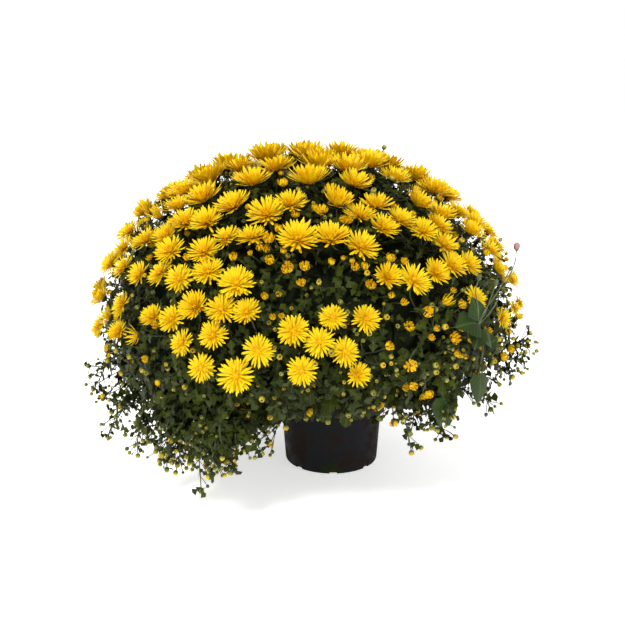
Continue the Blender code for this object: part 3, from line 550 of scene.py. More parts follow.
def petal_finish():
    """Golden yellow, deeper at the root, with fine lengthwise lines; a high tint is more orange."""
    made, tree, shader = shade(
        "petal", Specular_IOR_Level=0.25, Subsurface_Weight=0.12, Subsurface_Scale=4 * MM)
    along, across = pattern(tree)
    fresh = ramp(tree, along, FRESH_PETAL)
    young = ramp(tree, along, YOUNG_PETAL)
    colour, grain = mottled(tree, fresh, young, scale=40.0, tint=tint_of(tree))
    line = waves(tree, across, PETAL_LINES)
    height = reckon(tree, "ADD", times(tree, line, 0.5), grain)
    colour = blend(tree, 1.0, colour, rising(tree, line, 0.05, 0.95), "MULTIPLY")
    dress(tree, shader, colour, rising(tree, grain, 0.3, 0.40), height, 0.12 * MM)
    return made


def disc_finish():
    """Orange florets, paler at their tips."""
    made, tree, shader = shade("disc_floret", Specular_IOR_Level=0.25)
    along, _ = pattern(tree)
    colour, grain = mottled(tree, (0.62, 0.24, 0.0), (0.98, 0.54, 0.002), scale=300.0, tint=along)
    dress(tree, shader, colour, rising(tree, grain, 0.3, 0.45))
    return made


def leaf_finish(name, dark, light, vein):
    """Green blade with a paler midrib and slanting side veins."""
    made, tree, shader = shade(name, Specular_IOR_Level=0.12)
    along, across = pattern(tree)
    side = reckon(tree, "ABSOLUTE", across)
    colour, grain = mottled(tree, dark, light, scale=30.0, tint=tint_of(tree))
    slanted = reckon(tree, "SUBTRACT", times(tree, along, VEINS_ALONG), times(tree, side, VEIN_SLANT))
    ribs = reckon(tree, "POWER", reckon(tree, "ABSOLUTE", reckon(tree, "SINE", slanted)), 8.0)
    middle = reckon(tree, "LESS_THAN", side, MIDRIB)
    veins = reckon(tree, "MAXIMUM", times(tree, ribs, 0.45), middle)
    colour = blend(tree, times(tree, veins, 0.55), colour, (*vein, 1))
    height = reckon(tree, "SUBTRACT", grain, veins)
    dress(tree, shader, colour, rising(tree, grain, 0.30, 0.27), height, 0.4 * MM)
    return made


def stem_finish(name, dark, light):
    """Ribbed green stem with a dusty bloom."""
    made, tree, shader = shade(name, Specular_IOR_Level=0.3)
    _, across = pattern(tree)
    colour, grain = mottled(tree, dark, light, scale=60.0, tint=tint_of(tree))
    ribs = waves(tree, across, STEM_RIBS)
    height = reckon(tree, "ADD", grain, times(tree, ribs, 0.4))
    dress(tree, shader, colour, rising(tree, grain, 0.3, 0.5), height, 0.3 * MM)
    return made


def bud_finish():
    """Green scales below, turning to yellow round a dimple darkened with painted shade; a low tint is greener
    all over.
    """
    made, tree, shader = shade("bud", Specular_IOR_Level=0.35)
    along, across = pattern(tree)
    colour = blend(tree, tint_of(tree), ramp(tree, along, GREEN_BUD_AND_SHADE), ramp(tree, along, RIPE_BUD_AND_SHADE))
    scales = waves(tree, across, BUD_SCALES)
    colour = blend(tree, 1.0, colour, rising(tree, scales, 0.10, 0.88), "MULTIPLY")
    dress(tree, shader, colour, rising(tree, noise(tree, 500.0), 0.3, 0.4), scales, 0.3 * MM)
    return made


def plastic_finish():
    """Near-black pot plastic with turning marks, a dull scuffed sheen, dried mud and moss at the foot."""
    made, tree, shader = shade("pot_black", Specular_IOR_Level=0.10)
    here = tree.nodes.new("ShaderNodeTexCoord").outputs["Object"]
    x, y, height = node(tree, "SeparateXYZ", Vector=here).outputs
    colour, grain = mottled(tree, (0.003, 0.0034, 0.0045), (0.012, 0.013, 0.017), scale=26.0)
    low = rising(tree, height, -6.0, 0.62)
    splash = reckon(tree, "ADD", noise(tree, 26.0, detail=6, rough=0.65), times(tree, low, 0.10))
    mud = node(tree, "MapRange", Value=splash, From_Min=0.50, From_Max=0.66).outputs[0]
    beside = reckon(tree, "ABSOLUTE", reckon(tree, "SUBTRACT", x, MOSS_X))
    away = reckon(tree, "ADD", times(tree, beside, 22.0), times(tree, height, 30.0))
    patches = times(tree, noise(tree, 120.0, detail=5, rough=0.7), 1.5)
    edge = reckon(tree, "SUBTRACT", patches, away)
    front = reckon(tree, "LESS_THAN", y, 0.0)
    moss = times(tree, node(tree, "MapRange", Value=edge, From_Min=0.0, From_Max=0.35).outputs[0], front)
    colour = blend(tree, times(tree, mud, 0.75), colour, MUD_COLOUR)
    colour = blend(tree, times(tree, moss, 0.8), colour, MOSS_COLOUR)
    dull = reckon(tree, "MAXIMUM", mud, moss)
    rough = rising(tree, dull, 0.4, rising(tree, grain, 0.25, 0.42))
    rings = times(tree, waves(tree, height, POT_RINGS), 0.08)
    relief = reckon(tree, "ADD", rings, times(tree, dull, grain))
    dress(tree, shader, colour, reckon(tree, "MINIMUM", rough, 0.95), relief, 0.6 * MM)
    return made


def crumb_finish(name, dark, light, scale):
    """Matt, finely crumbled surface."""
    made, tree, shader = shade(name, Specular_IOR_Level=0.15)
    colour, grain = mottled(tree, dark, light, scale, tint_of(tree))
    dress(tree, shader, colour, rising(tree, grain, 0.15, 0.82), grain, 1.5 * MM)
    return made


PETAL = petal_finish()
DISC = disc_finish()
LEAF = leaf_finish("leaf", (0.004, 0.008, 0.001), (0.038, 0.052, 0.003), (0.07, 0.09, 0.015))
STEM = stem_finish("stem", (0.022, 0.035, 0.010), (0.10, 0.12, 0.05))
WOOD = stem_finish("woody_stem", (0.05, 0.04, 0.025), (0.13, 0.11, 0.07))
BUD = bud_finish()
# Near-black finish of the core blocks: painted shade for the dark depths of the foliage
PAINTED_SHADE = crumb_finish("painted_shade_foliage", (0.002, 0.004, 0.0008), (0.009, 0.014, 0.003), 60.0)
PLASTIC = plastic_finish()
SOIL = crumb_finish("soil", (0.018, 0.011, 0.007), (0.07, 0.045, 0.028), 120.0)
WEED_LEAF = leaf_finish("weed_leaf", (0.010, 0.024, 0.004), (0.036, 0.064, 0.012), (0.06, 0.10, 0.03))
WEED_STEM = stem_finish("weed_stem", (0.03, 0.045, 0.015), (0.13, 0.16, 0.085))
WEED_HEAD = stem_finish("weed_head", (0.22, 0.09, 0.09), (0.42, 0.26, 0.25))


# Flowers

# Rows of petals: number, length, slope at root and tip, half width, start from the middle, height
BLOOM_ROWS = (
    (21, 0.97, -10, 8, 0.068, 0.10, -0.03),
    (20, 0.93, 2, 16, 0.066, 0.10, 0.0),
    (17, 0.80, 14, 30, 0.062, 0.09, 0.03),
    (13, 0.60, 28, 46, 0.058, 0.08, 0.05),
    (7, 0.38, 46, 66, 0.055, 0.07, 0.07),
)
CLAW_ROWS = (
    (12, 1.05, 18, 62, 0.052, 0.08, -0.03),
    (9, 0.92, 34, 78, 0.050, 0.07, 0.0),
    (6, 0.50, 50, 80, 0.060, 0.05, 0.05),
)
CLAW_SHARE = 0.05
CUP_ROWS = (
    (10, 1.62, 12, 122, 0.22, 0.16, -0.60),
    (7, 1.45, 34, 124, 0.20, 0.12, -0.55),
    (4, 1.05, 50, 118, 0.18, 0.08, -0.50),
)
PETAL_SHAPE = ((0, 0.42, 0), (0.45, 0.96, 0), (0.84, 0.90, -0.15), (1, 0.20, 0.3))
SHORT_PETAL_SHAPE = ((0, 0.50, 0), (0.62, 1.0, 0), (1, 0.30, 0.3))
SHORT_REACH = 0.7
PETAL_FOLD = -0.30
# How much petals vary: their angle as a share of a step, slopes in degrees, and shares of length and width
PETAL_TURN = 0.28
PETAL_TILT = 5
PETAL_CURL = 7
PETAL_LONG = (0.88, 1.07)
PETAL_WIDE = (0.88, 1.12)
PETAL_TINT = 0.12
FLORETS = 10
FLORET_SIZE = 0.7 * MM
FLORET_SHAPE = ((0.1, 0), (1, 0.9), (0.1, 2.2))
DISC_REACH = 0.17
DISC_HEIGHT = 0.08
DISC_SHAPE = ((0.60, -0.3), (1.0, 0.0), (0.75, 0.42), (0.05, 0.55))
CALYX_SHAPE = ((0.30, -1.0), (0.85, -0.60), (1.0, -0.12), (0.5, 0.02))
CALYX_SIDES = 7
CALYX_SIZE = 5.2 * MM
CALYX_TINT = 0.35
SCALES = 5
SCALE_SHAPE = ((0, 0.8, 0), (0.6, 1, 0), (1, 0.1, 0))
SCALE_SLOPE = (55.0, 35.0)
STALK = 1.15 * MM
STALK_STEPS = 6
JOINT = 2.1 * MM
JOINT_SHAPE = ((0.5, -1.2), (1, -0.3), (0.9, 0.6), (0.2, 1.2))
BRACT_SHAPE = ((0, 0.14, 0), (0.3, 0.55, 0), (0.6, 1.0, 0.3), (0.8, 0.6, 0), (1, 0.06, 0))
BRACT_PLACES = (0.35, 0.68)
BRACT_LONG = (12, 20)
BRACT_WIDE = (2.4, 4.0)
BLOOM_SPREAD = (0.89, 1.04)
# Degrees by which blooms close more or less, and how often; the crest's blooms close more and are larger
OPENINGS = (-4, 2, 8, 20)
OPENING_SHARES = (0.3, 0.4, 0.2, 0.1)
CUP_OPENINGS = (4, -12, -34)
CUP_OPENING_SHARES = (0.5, 0.25, 0.25)
HALF_OPENINGS = (6, -8)
CREST_SPREAD = 0.70
CREST_OPENING = 32
CREST_SINK = 10 * MM
RIGHT_LOSS = 0.28


def grow_petals(piece, rng, centre, facing, radius, rows, opening, tint):
    """Rows of petals round a flower's middle: each leaves it outwards and rises by its row's slopes."""
    for number, reach, low, high, half, start, height in rows:
        step = np.arange(number) + rng.uniform(-PETAL_TURN, PETAL_TURN, number) + rng.random()
        out = spun(*sides_of(facing), step * math.tau / number)
        slope = np.radians(np.array([low, high]) + opening + rng.normal(0, PETAL_TILT, (number, 1)))
        slope[:, 1] += np.radians(rng.normal(0, PETAL_CURL, number))
        length = radius * reach * rng.uniform(*PETAL_LONG, number)
        wide = radius * half * rng.uniform(*PETAL_WIDE, number)
        root = centre + facing * height * radius + out * start * radius
        profile = SHORT_PETAL_SHAPE if reach < SHORT_REACH else PETAL_SHAPE
        up = np.broadcast_to(facing, out.shape)
        shape = blades(root, out, up, length, wide, slope, profile, PETAL_FOLD)
        piece.add(shape, PETAL, np.clip(tint + rng.uniform(-PETAL_TINT, PETAL_TINT, number), 0, 1))


def grow_disc(piece, rng, centre, facing, radius):
    """The orange middle: a low mound with florets on it at golden-angle steps."""
    reach = radius * DISC_REACH
    step = np.arange(FLORETS)
    out = np.sqrt((step + 0.5) / FLORETS)
    place = out[:, None] * reach * spun(*sides_of(facing), step * GOLDEN + rng.uniform(0, math.tau))
    place = centre + place + facing * (reach * 0.5 * (1 - out ** 2) + DISC_HEIGHT * radius)[:, None]
    axis = unit(facing + 0.5 * unit(place - centre))
    piece.add(turned(place, axis, np.full(FLORETS, FLORET_SIZE), FLORET_SHAPE, 3), DISC, rng.random(FLORETS))
    mound = turned_one(centre + facing * DISC_HEIGHT * radius, facing, reach, DISC_SHAPE, 8)
    piece.add(mound, DISC, 0.4)


def grow_calyx(piece, rng, centre, facing, size):
    """The green cup under a flower, with a ring of pressed scales."""
    piece.add(turned_one(centre, facing, size, CALYX_SHAPE, CALYX_SIDES), STEM, CALYX_TINT)
    out = spun(*sides_of(facing), turns(SCALES) + rng.random())
    root = centre - facing * size * 0.75 + out * size * 0.55
    slope = np.radians(np.tile([SCALE_SLOPE], (SCALES, 1)))
    length, wide = np.full(SCALES, size * 1.05), np.full(SCALES, size * 0.42)
    up = np.broadcast_to(facing, out.shape)
    shape = blades(root, out, up, length, wide, slope, SCALE_SHAPE, PETAL_FOLD)
    piece.add(shape, LEAF, rng.uniform(0.5, 1, SCALES))


def grow_half_open(piece, rng, centre, facing, radius):
    """A small flower whose petals still lean together round a dark hole."""
    grow_petals(piece, rng, centre, facing, radius, CUP_ROWS[:2], rng.choice(HALF_OPENINGS), 0.55)
    foot = centre - facing * 3 * MM
    piece.add(turned_one(foot, facing, radius * 0.62, CALYX_SHAPE, 6), STEM, CALYX_TINT)


def grow_flower(piece, rng, centre, facing, radius):
    """An open bloom, or a half-open one that is still a cup, with its calyx.

    The petals of a bloom rise more the higher it stands on the dome, because the crest flowered last.
    """
    if radius > 1.2 * CUP_RADIUS:
        crest = height_share(centre[2])
        right = np.clip((centre[0] - DOME_X) / BLOOM_DOME[0], 0, 1) * (1 - crest)
        opening = CREST_OPENING * crest ** 1.5 + rng.choice(OPENINGS, p=OPENING_SHARES)
        rows = CLAW_ROWS if rng.random() < CLAW_SHARE else BLOOM_ROWS
        size = radius * rng.uniform(*BLOOM_SPREAD) * (1 + CREST_SPREAD * crest ** 2 - RIGHT_LOSS * right)
        centre = centre - facing * CREST_SINK * crest ** 2
        grow_petals(piece, rng, centre, facing, size, rows, opening, 0.08 + opening * 0.006)
        grow_disc(piece, rng, centre, facing, radius)
        grow_calyx(piece, rng, centre - facing * 0.5 * MM, facing, CALYX_SIZE)
    else:
        opening = rng.choice(CUP_OPENINGS, p=CUP_OPENING_SHARES)
        grow_petals(piece, rng, centre, facing, radius * rng.uniform(0.75, 1.0), CUP_ROWS, opening, 0.62)
        grow_calyx(piece, rng, centre - facing * 3.2 * MM, facing, CALYX_SIZE * 0.75)


def make_spray(name, rng):
    """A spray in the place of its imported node, and the centre, facing and radius of its flowers."""
    flowers, joint, seat = find_flowers(name)
    piece = Piece(name + "_fine")
    centre, facing = (np.array(part) for part in list(zip(*flowers))[:2])
    for flower in flowers:
        grow_flower(piece, rng, *flower)
    end = centre - facing * NECK_DEPTH
    start = np.broadcast_to(joint, end.shape)
    away = np.linalg.norm(end - start, axis=1)[:, None]
    stalks = curved(start, end - facing * away * 0.4, end + facing * 2 * MM, STALK_STEPS)
    piece.add(tubes(stalks, STALK, 5), STEM, rng.uniform(0.3, 1, len(flowers)))
    inner = seat + (seat - joint) * 0.6
    foot = curved(joint[None], (joint + seat)[None] / 2 + UP * 3 * MM, inner[None], 5)
    piece.add(tubes(foot, np.full(5, JOINT), 6), STEM, 0.4)
    piece.add(turned_one(joint, unit(joint - seat), JOINT * 1.5, JOINT_SHAPE, 7), STEM, 0.3)
    grow_bracts(piece, rng, stalks)
    made = piece.make()
    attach(made, "root")
    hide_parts(name)
    return flowers


def grow_bracts(piece, rng, stalks):
    """Two small leaves on each stalk, at shares of its length."""
    number = len(stalks)
    for share in BRACT_PLACES:
        step = int(share * (STALK_STEPS - 1))
        place = stalks[:, step]
        axis = unit(stalks[:, step + 1] - place)
        along = unit(spun(*sides_of(axis), rng.uniform(0, math.tau, number)) + axis * 0.8)
        slope = slopes(rng, (-5, 15), (-50, -20), number)
        length = rng.uniform(*BRACT_LONG, number) * MM
        wide = rng.uniform(*BRACT_WIDE, number) * MM
        shape = blades(place, along, axis, length, wide, slope, BRACT_SHAPE, PETAL_FOLD)
        piece.add(shape, LEAF, rng.random(number))


def slopes(rng, rise, droop, number):
    """Slopes at the root and at the tip of blades, each drawn from a range in degrees."""
    return np.radians(np.stack([rng.uniform(*rise, number), rng.uniform(*droop, number)], axis=1))


def height_share(level):
    """How high a level lies on the dome of blooms, from none at its widest to one at its top."""
    return np.clip((level - DOME_LEVEL) / BLOOM_DOME[1], 0, 1)


# Foliage

# Half-open flowers as the photograph shows them: column, row and width in its own dots
SEEN_CUPS = (
    (295, 213, 8), (321, 211, 12), (351, 167, 7), (359, 178, 6), (309, 185, 7), (386, 208, 8), (415, 212, 8),
    (377, 232, 9), (392, 257, 12), (406, 260, 8), (332, 261, 9), (285, 263, 9), (305, 265, 11), (356, 266, 9),
    (366, 265, 10), (375, 265, 9), (353, 260, 7), (344, 257, 6), (283, 250, 8), (295, 252, 6), (289, 274, 8),
    (301, 282, 9), (398, 267, 7), (344, 221, 12), (229, 201, 10), (247, 205, 8), (278, 227, 12),
    (267, 236, 9), (259, 246, 9), (249, 252, 7), (269, 261, 14), (234, 257, 15), (237, 270, 9),
    (248, 236, 15), (264, 296, 9), (278, 294, 6), (272, 317, 8), (281, 316, 6), (393, 295, 8), (406, 302, 8),
    (456, 290, 7), (430, 312, 12), (484, 315, 7), (493, 331, 7), (439, 329, 8), (434, 338, 7), (476, 339, 14),
    (484, 348, 7), (460, 355, 9),
)
CUP_LEVEL = 0.985
CUP_MARGIN = 5 * MM
CUP_SCALE = 0.64 * MM
CUP_FOOT = 0.74
LEAF_SHAPE = (
    (0, 0.06, 0), (0.20, 0.08, 0), (0.30, 0.48, 0.1), (0.38, 0.26, 0), (0.50, 1.0, 0.30),
    (0.59, 0.40, -0.05), (0.72, 0.80, 0.35), (0.80, 0.34, 0), (0.91, 0.36, 0.25), (1, 0.04, 0),
)
SMALL_LEAF_SHAPE = ((0, 0.10, 0), (0.26, 0.82, 0.40), (0.46, 0.26, 0), (0.60, 1.0, 0.60), (1, 0.05, 0))
LEAF_RISE = (0, 25)
LEAF_DROOP = (-60, -5)
LEAF_WIDE = (0.27, 0.38)
LEAF_FOLDS = (-0.25, -0.14, 0.14)
# Shares of a leaf's length that must lie outside the flowers, each with its margin
LEAF_ROOM = ((0.55, 1 * MM), (0.9, 0.0))
BUD_SHAPE = ((0.35, -1.05), (0.92, -0.62), (1.0, 0.08), (0.70, 0.74), (0.14, 0.60))
BUD_SIDES = 6
# Radii in millimetres of the buds at tips and beside them, and how far the side buds stand off
TIP_BUD = (2.6, 4.4)
SIDE_BUD = (2.0, 3.6)
SIDE_STALK = (12, 28)
SHOOTS = 74
LEAVES_ON_SHOOT = 7
LEAF_LONG = (22 * MM, 18 * MM)
LEAF_LOW = math.radians(8)
INNER_LEAVES = 392
INNER_LONG = (12, 24)
INNER_DEPTH = 36 * MM
CORE_SHARE = 1.07
ROOT_SHARE = 0.99
CORE_RINGS = 25
CORE_STEPS = 15
# Waves of the core: how fast each of two crossing sines runs over the azimuth and the lift
CORE_WAVES = ((9, 7, 11, 5), (41, 3, 37, -9))
CROWN_LIFTS = (90, 84, 78, 71, 64, 62, 66, 74, 86)
CROWN_SHARES = (1.09, 1.11, 1.09, 1.10, 1.09, 0.90, 0.60, 0.55, 0.55)
# Main stems: ring on which they stand, reach and level of their tops, and heights of foot and collar
STEM_RING = 0.026
STEM_TOP = (0.205, 0.252)
CROWN_TOP = (0.0, 0.375)
STEM_HEIGHTS = (0.0843, 0.134)
SHOOT_LENGTH = (0.60, 1.02)
# Thickness at the start and end of stems, in millimetres
WOOD_THICK = (3.4, 2.8)
SHOOT_THICK = (1.1, 0.7)
HANGING_THICK = (1.5, 0.8)
TWIG_THICK = (1.3, 0.8)
# Share of the shoots whose end has opened by half: low down, on the crest, and low on the right
HALF_OPEN_SHARE = (0.10, 0.60, 0.28)
HALF_OPEN_SIZE = (0.52, 0.80)
RIGHT_X = 20 * MM
RIGHT_HEIGHT = 0.45
LOWEST = 6 * MM

# Shoots that lean out over the pot's lip, for each branch from the front round by the right
SKIRT_SHOOTS = (18, 13, 11, 10, 10, 18, 40, 44)
SKIRT_LENGTH = ((26, 46), (40, 66), (38, 64), (36, 62), (36, 62), (44, 80), (45, 92), (45, 98))
SKIRT_OUT = ((0.2, 0.9), (0.2, 0.9), (0.2, 0.9), (0.2, 0.9), (0.2, 0.9), (0.4, 1.2), (0.5, 1.6), (0.4, 1.6))
SKIRT_LIFT = (-88, -30)
SKIRT_LEAVES = 8
SKIRT_LEAF = 26 * MM

# Tips of the outermost shoots as the photograph shows them, and their millimetres in front of the middle
HANGING_TIPS = (
    (94, 388, 50), (90, 366, 20), (113, 411, 100), (108, 435, 120), (122, 404, 120), (113, 424, 60),
    (140, 427, 180), (138, 454, 200), (160, 459, 220), (167, 468, 230), (176, 471, 240), (201, 489, 270),
    (188, 455, 240), (210, 468, 260), (231, 471, 270), (222, 456, 280), (255, 456, 260), (150, 440, 200),
    (244, 448, 250), (270, 440, 240), (446, 435, 200), (437, 428, 220), (452, 415, 230), (477, 394, 200),
    (490, 408, 150), (498, 384, 130), (511, 376, 120), (519, 360, 110), (524, 353, 100), (527, 346, 90),
    (529, 334, 85), (104, 398, 20),
)
HANGING_LEAVES = (16, 29)
HANGING_BUD = (3.2, 4.4)
POT_REACH = 95 * MM
BARE_ROW = 425
HANGING_POINTS = 12
LEAVES_AT_POINT = 3
# Further hanging shoots of each branch, and how far their tips lie out from and below their roots
HANGING_MORE = (0, 3, 3, 3, 3, 5, 15, 16)
HANGING_OUT = (10, 80)
HANGING_DOWN = (20, 85)


def row_of(points):
    """Row of the photograph's view in which points are seen."""
    forward = unit(AIM - EYE)
    down = np.cross(forward, unit(np.cross(forward, UP)))
    way = points - EYE
    return PICTURE / 2 + FOCAL * (way @ down) / (way @ forward)


def hides_pot(points):
    """Whether points lie where they would hide the part of the pot that the photograph shows bare."""
    return (np.abs(points[:, 0]) < POT_REACH) & (points[:, 1] < 0) & (row_of(points) > BARE_ROW)


def taper(thick, count):
    """Even radii from the first to the second of two in millimetres."""
    return np.linspace(*thick, count) * MM


class Foliage:
    """Grows shoots with leaves and buds into a piece, clear of the flowers."""

    def __init__(self, flowers, rng):
        self.centre = np.array([flower[0] for flower in flowers])
        self.facing = np.array([flower[1] for flower in flowers])
        self.radius = np.array([flower[2] for flower in flowers])
        self.rng = rng

    def clear(self, points, margin):
        """Whether points lie outside every flower, taken as a flat ellipsoid of its radius."""
        way = points[:, None] - self.centre
        height = (way * self.facing).sum(-1)
        across = np.linalg.norm(way - height[..., None] * self.facing, axis=-1)
        shape = (across / (self.radius + margin)) ** 2 + (height / (0.42 * self.radius + margin)) ** 2
        return (shape > 1).all(1)

    def grow_leaves(self, piece, root, along, facing, length):
        """Lobed leaves, without those whose middle or tip would stand in a flower."""
        keep = root[:, 2] + along[:, 2] * length > LOWEST
        for share, margin in LEAF_ROOM:
            keep &= self.clear(root + along * length[:, None] * share, margin)
        keep &= ~hides_pot(root + along * length[:, None])
        root, along, facing, length = root[keep], along[keep], facing[keep], length[keep]
        number = len(root)
        slope = slopes(self.rng, LEAF_RISE, LEAF_DROOP, number)
        wide = length * self.rng.uniform(*LEAF_WIDE, number)
        fold = self.rng.choice(LEAF_FOLDS)
        shape = blades(root, along, facing, length, wide, slope, SMALL_LEAF_SHAPE, fold)
        piece.add(shape, LEAF, self.rng.random(number))

    def grow_buds(self, piece, place, axis, size, ripe):
        """Round buds with a dimple at the tip."""
        piece.add(turned(place, axis, size, BUD_SHAPE, BUD_SIDES), BUD, ripe)

    def grow_shoots(self, piece, root, way, length, bud_share, leaf_size, leaves=LEAVES_ON_SHOOT):
        """Thin shoots with leaves at golden-angle turns, and on some a bud at the tip and beside it."""
        rng = self.rng
        for share in (0.85, 0.7, 0.5):
            end = root + way * length[:, None]
            blocked = ~self.clear(end, 4.5 * MM) | hides_pot(end)
            length = np.where(blocked, length * share, length)
        number = len(root)
        tip = root + way * length[:, None]
        sag = rng.normal(0, 0.10, (number, 3)) + UP * 0.06
        pull = root + way * length[:, None] * 0.5 + sag * length[:, None]
        path = curved(root - way * 6 * MM, pull, tip, 5)
        piece.add(tubes(path, taper(SHOOT_THICK, 5), 4), STEM, rng.random(number))
        first, second = sides_of(way)
        turn = rng.uniform(0, math.tau, number)
        for k in range(leaves):
            share = (k + 0.9) / (leaves + 0.3)
            side = spun(first, second, turn + k * GOLDEN)
            place = root + way * (length * share)[:, None]
            along = unit(side + way * rng.uniform(0.0, 0.7, (number, 1)))
            facing = unit(0.5 * way + 0.4 * UP + 0.5 * outward(place) + rng.normal(0, 0.35, (number, 3)))
            size = leaf_size * rng.uniform(0.70, 1.25, number) * (1.1 - 0.35 * share)
            self.grow_leaves(piece, place, along, facing, size)
        has_bud = (rng.random(number) < bud_share) & self.clear(tip, 3.5 * MM)
        axis = unit(path[:, -1] - path[:, -2])
        self.grow_tips(piece, tip[has_bud], axis[has_bud])
        self.grow_side_buds(piece, path[has_bud], first[has_bud], second[has_bud])

    def grow_tips(self, piece, tip, axis):
        """Buds at the ends of shoots, and half-open flowers on some of those that stand high."""
        rng = self.rng
        high = height_share(tip[:, 2]) ** 0.5
        low, crest, right = HALF_OPEN_SHARE
        chosen = np.where((tip[:, 0] > RIGHT_X) & (high < RIGHT_HEIGHT), right, low + (crest - low) * high)
        opened = (rng.random(len(tip)) < chosen) & self.clear(tip, 5 * MM)
        for place, way in zip(tip[opened], axis[opened]):
            facing = unit(way + UP * 0.3)
            radius = CUP_RADIUS * rng.uniform(*HALF_OPEN_SIZE)
            grow_half_open(piece, rng, place + facing * 5 * MM, facing, radius)
        tip, axis = tip[~opened], axis[~opened]
        size = rng.uniform(*TIP_BUD, len(tip)) * MM
        ripe = np.clip(rng.normal(0.5, 0.35, len(size)), 0, 1)
        self.grow_buds(piece, tip + axis * size[:, None], axis, size, ripe)

    def grow_side_buds(self, piece, path, first, second):
        """One or two smaller buds on short stalks beside the upper end of a path."""
        rng = self.rng
        for step, chosen in ((3, 0.85), (2, 0.6)):
            take = rng.random(len(path)) < chosen
            start = path[take][:, step]
            side = spun(first[take], second[take], rng.uniform(0, math.tau, len(start)))
            ahead = unit(path[take][:, 4] - path[take][:, 2])
            way = unit(side + ahead * rng.uniform(0.7, 1.5, (len(start), 1)))
            end = start + way * rng.uniform(*SIDE_STALK, (len(start), 1)) * MM
            free = self.clear(end, 3.0 * MM) & ~hides_pot(end)
            start, end, way = start[free], end[free], way[free]
            stalk = curved(start, (start + end) / 2 + UP * 1.5 * MM, end, 4)
            piece.add(tubes(stalk, 0.6 * MM, 3), STEM, rng.random(len(start)))
            size = rng.uniform(*SIDE_BUD, len(start)) * MM
            ripe = np.clip(rng.normal(0.2, 0.3, len(size)), 0, 1)
            self.grow_buds(piece, end + way * size[:, None], way, size, ripe)


def sector(number, share):
    """Azimuth at a share, from minus one to one, of a branch's half sector from its middle."""
    return number * math.tau / BRANCHES + HALF_SECTOR * share


def branch_at(azimuth):
    """Number of the branch in whose sector an azimuth lies."""
    return round(azimuth / math.tau * BRANCHES) % BRANCHES


def branch_of(point):
    """Number of the branch, or of the crown, whose part of the dome a point stands over."""
    reach, rise, _ = CORE_DOME
    away = point - DOME_MIDDLE
    if math.atan2(away[2] / rise, math.hypot(away[0], away[1]) / reach) > CORE_EDGE:
        return BRANCHES
    return branch_at(math.atan2(away[0], -away[1]))


def seen_cups(flowers):
    """Centre, facing and radius of the half-open flowers seen where no packed flower stands."""
    packed = Foliage(flowers, None)
    cups = []
    for column, row, width in SEEN_CUPS:
        centre = outside(column, row, CUP_LEVEL)
        if packed.clear(centre[None], CUP_MARGIN)[0]:
            cups.append((centre, unit(outward(centre) + UP * 0.5), width * CUP_SCALE))
    return cups


def grow_cups(piece, number, cups, rng):
    """Half-open flowers over a branch, each on a stalk out of the core."""
    for centre, facing, radius in cups:
        if branch_of(centre) == number:
            foot = from_middle(centre, CUP_FOOT)
            end = centre - facing * 3 * MM
            stalk = curved(foot[None], (foot + end)[None] / 2 + UP * 4 * MM, end[None], 5)
            piece.add(tubes(stalk, 1.1 * MM, 5), STEM, rng.random(1))
            grow_half_open(piece, rng, centre, facing, radius)


def core_block(number):
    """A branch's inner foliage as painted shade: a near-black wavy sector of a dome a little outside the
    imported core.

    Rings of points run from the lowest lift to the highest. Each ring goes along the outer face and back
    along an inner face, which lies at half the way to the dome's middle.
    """
    lift = np.linspace(-CORE_EDGE, CORE_EDGE, CORE_RINGS)[:, None]
    azimuth = sector(number, np.linspace(-1, 1, CORE_STEPS)[None])
    wave = sum(np.sin(a * azimuth + b * lift) * np.sin(c * lift + d * azimuth) for a, b, c, d in CORE_WAVES)
    outer = dome_point(*np.broadcast_arrays(azimuth, lift), CORE_DOME)
    outer = from_middle(outer, (CORE_SHARE * (0.99 + 0.03 * wave))[..., None])
    points = np.concatenate([outer, from_middle(outer[:, ::-1], 0.5)], axis=1)
    return closed(points[None], np.zeros((1, 2)))


def crown_block():
    """The crown's inner foliage as painted shade: a near-black wavy cap turned round the dome's middle line,
    closed below.
    """
    lift = np.radians(CROWN_LIFTS)
    inset = np.array(CROWN_SHARES)
    reach, rise, _ = CORE_DOME
    profile = np.stack([np.maximum(reach * np.cos(lift), MM) * inset, rise * np.sin(lift) * inset], axis=1)
    return turned_one(DOME_MIDDLE, UP, 1.0, profile[::-1], 24, ribs=7, depth=0.05)


def stem_path(number):
    """Points of a main stem from its foot in the soil to its core, as the part's source has them."""
    out = level_way(sector(number, 0) if number < BRANCHES else 0.0)
    ring, (reach, level) = (STEM_RING, STEM_TOP) if number < BRANCHES else (0.0, CROWN_TOP)
    foot, collar = (out * ring + UP * height for height in STEM_HEIGHTS)
    apex = np.array([DOME_X, 0, level]) + out * reach
    bend = collar + (apex - collar) * 0.45 + UP * 15 * MM
    return np.array([foot, collar, bend, apex])


def bud_share(azimuth, lift):
    """Share of the shoots that end in a bud: few on the crest, most on the sides and low on the right."""
    share = np.where(lift > math.radians(38), 0.6, 0.75)
    return np.where((lift < math.radians(25)) & (np.sin(azimuth) > 0.2), 0.9, share)


def spread_over(number, count, rng):
    """Azimuths and lifts spread evenly over a branch's sector of the dome, or over the crown."""
    share = (np.arange(count) + 0.5) / count
    if number == BRANCHES:
        return np.arange(count) * GOLDEN, np.arcsin(1 - share * (1 - math.sin(CORE_EDGE)))
    across = 2 * ((np.arange(count) * GOLDEN_SHARE + rng.random()) % 1) - 1
    return sector(number, across), np.arcsin(math.sin(CORE_EDGE) * (2 * share - 1))


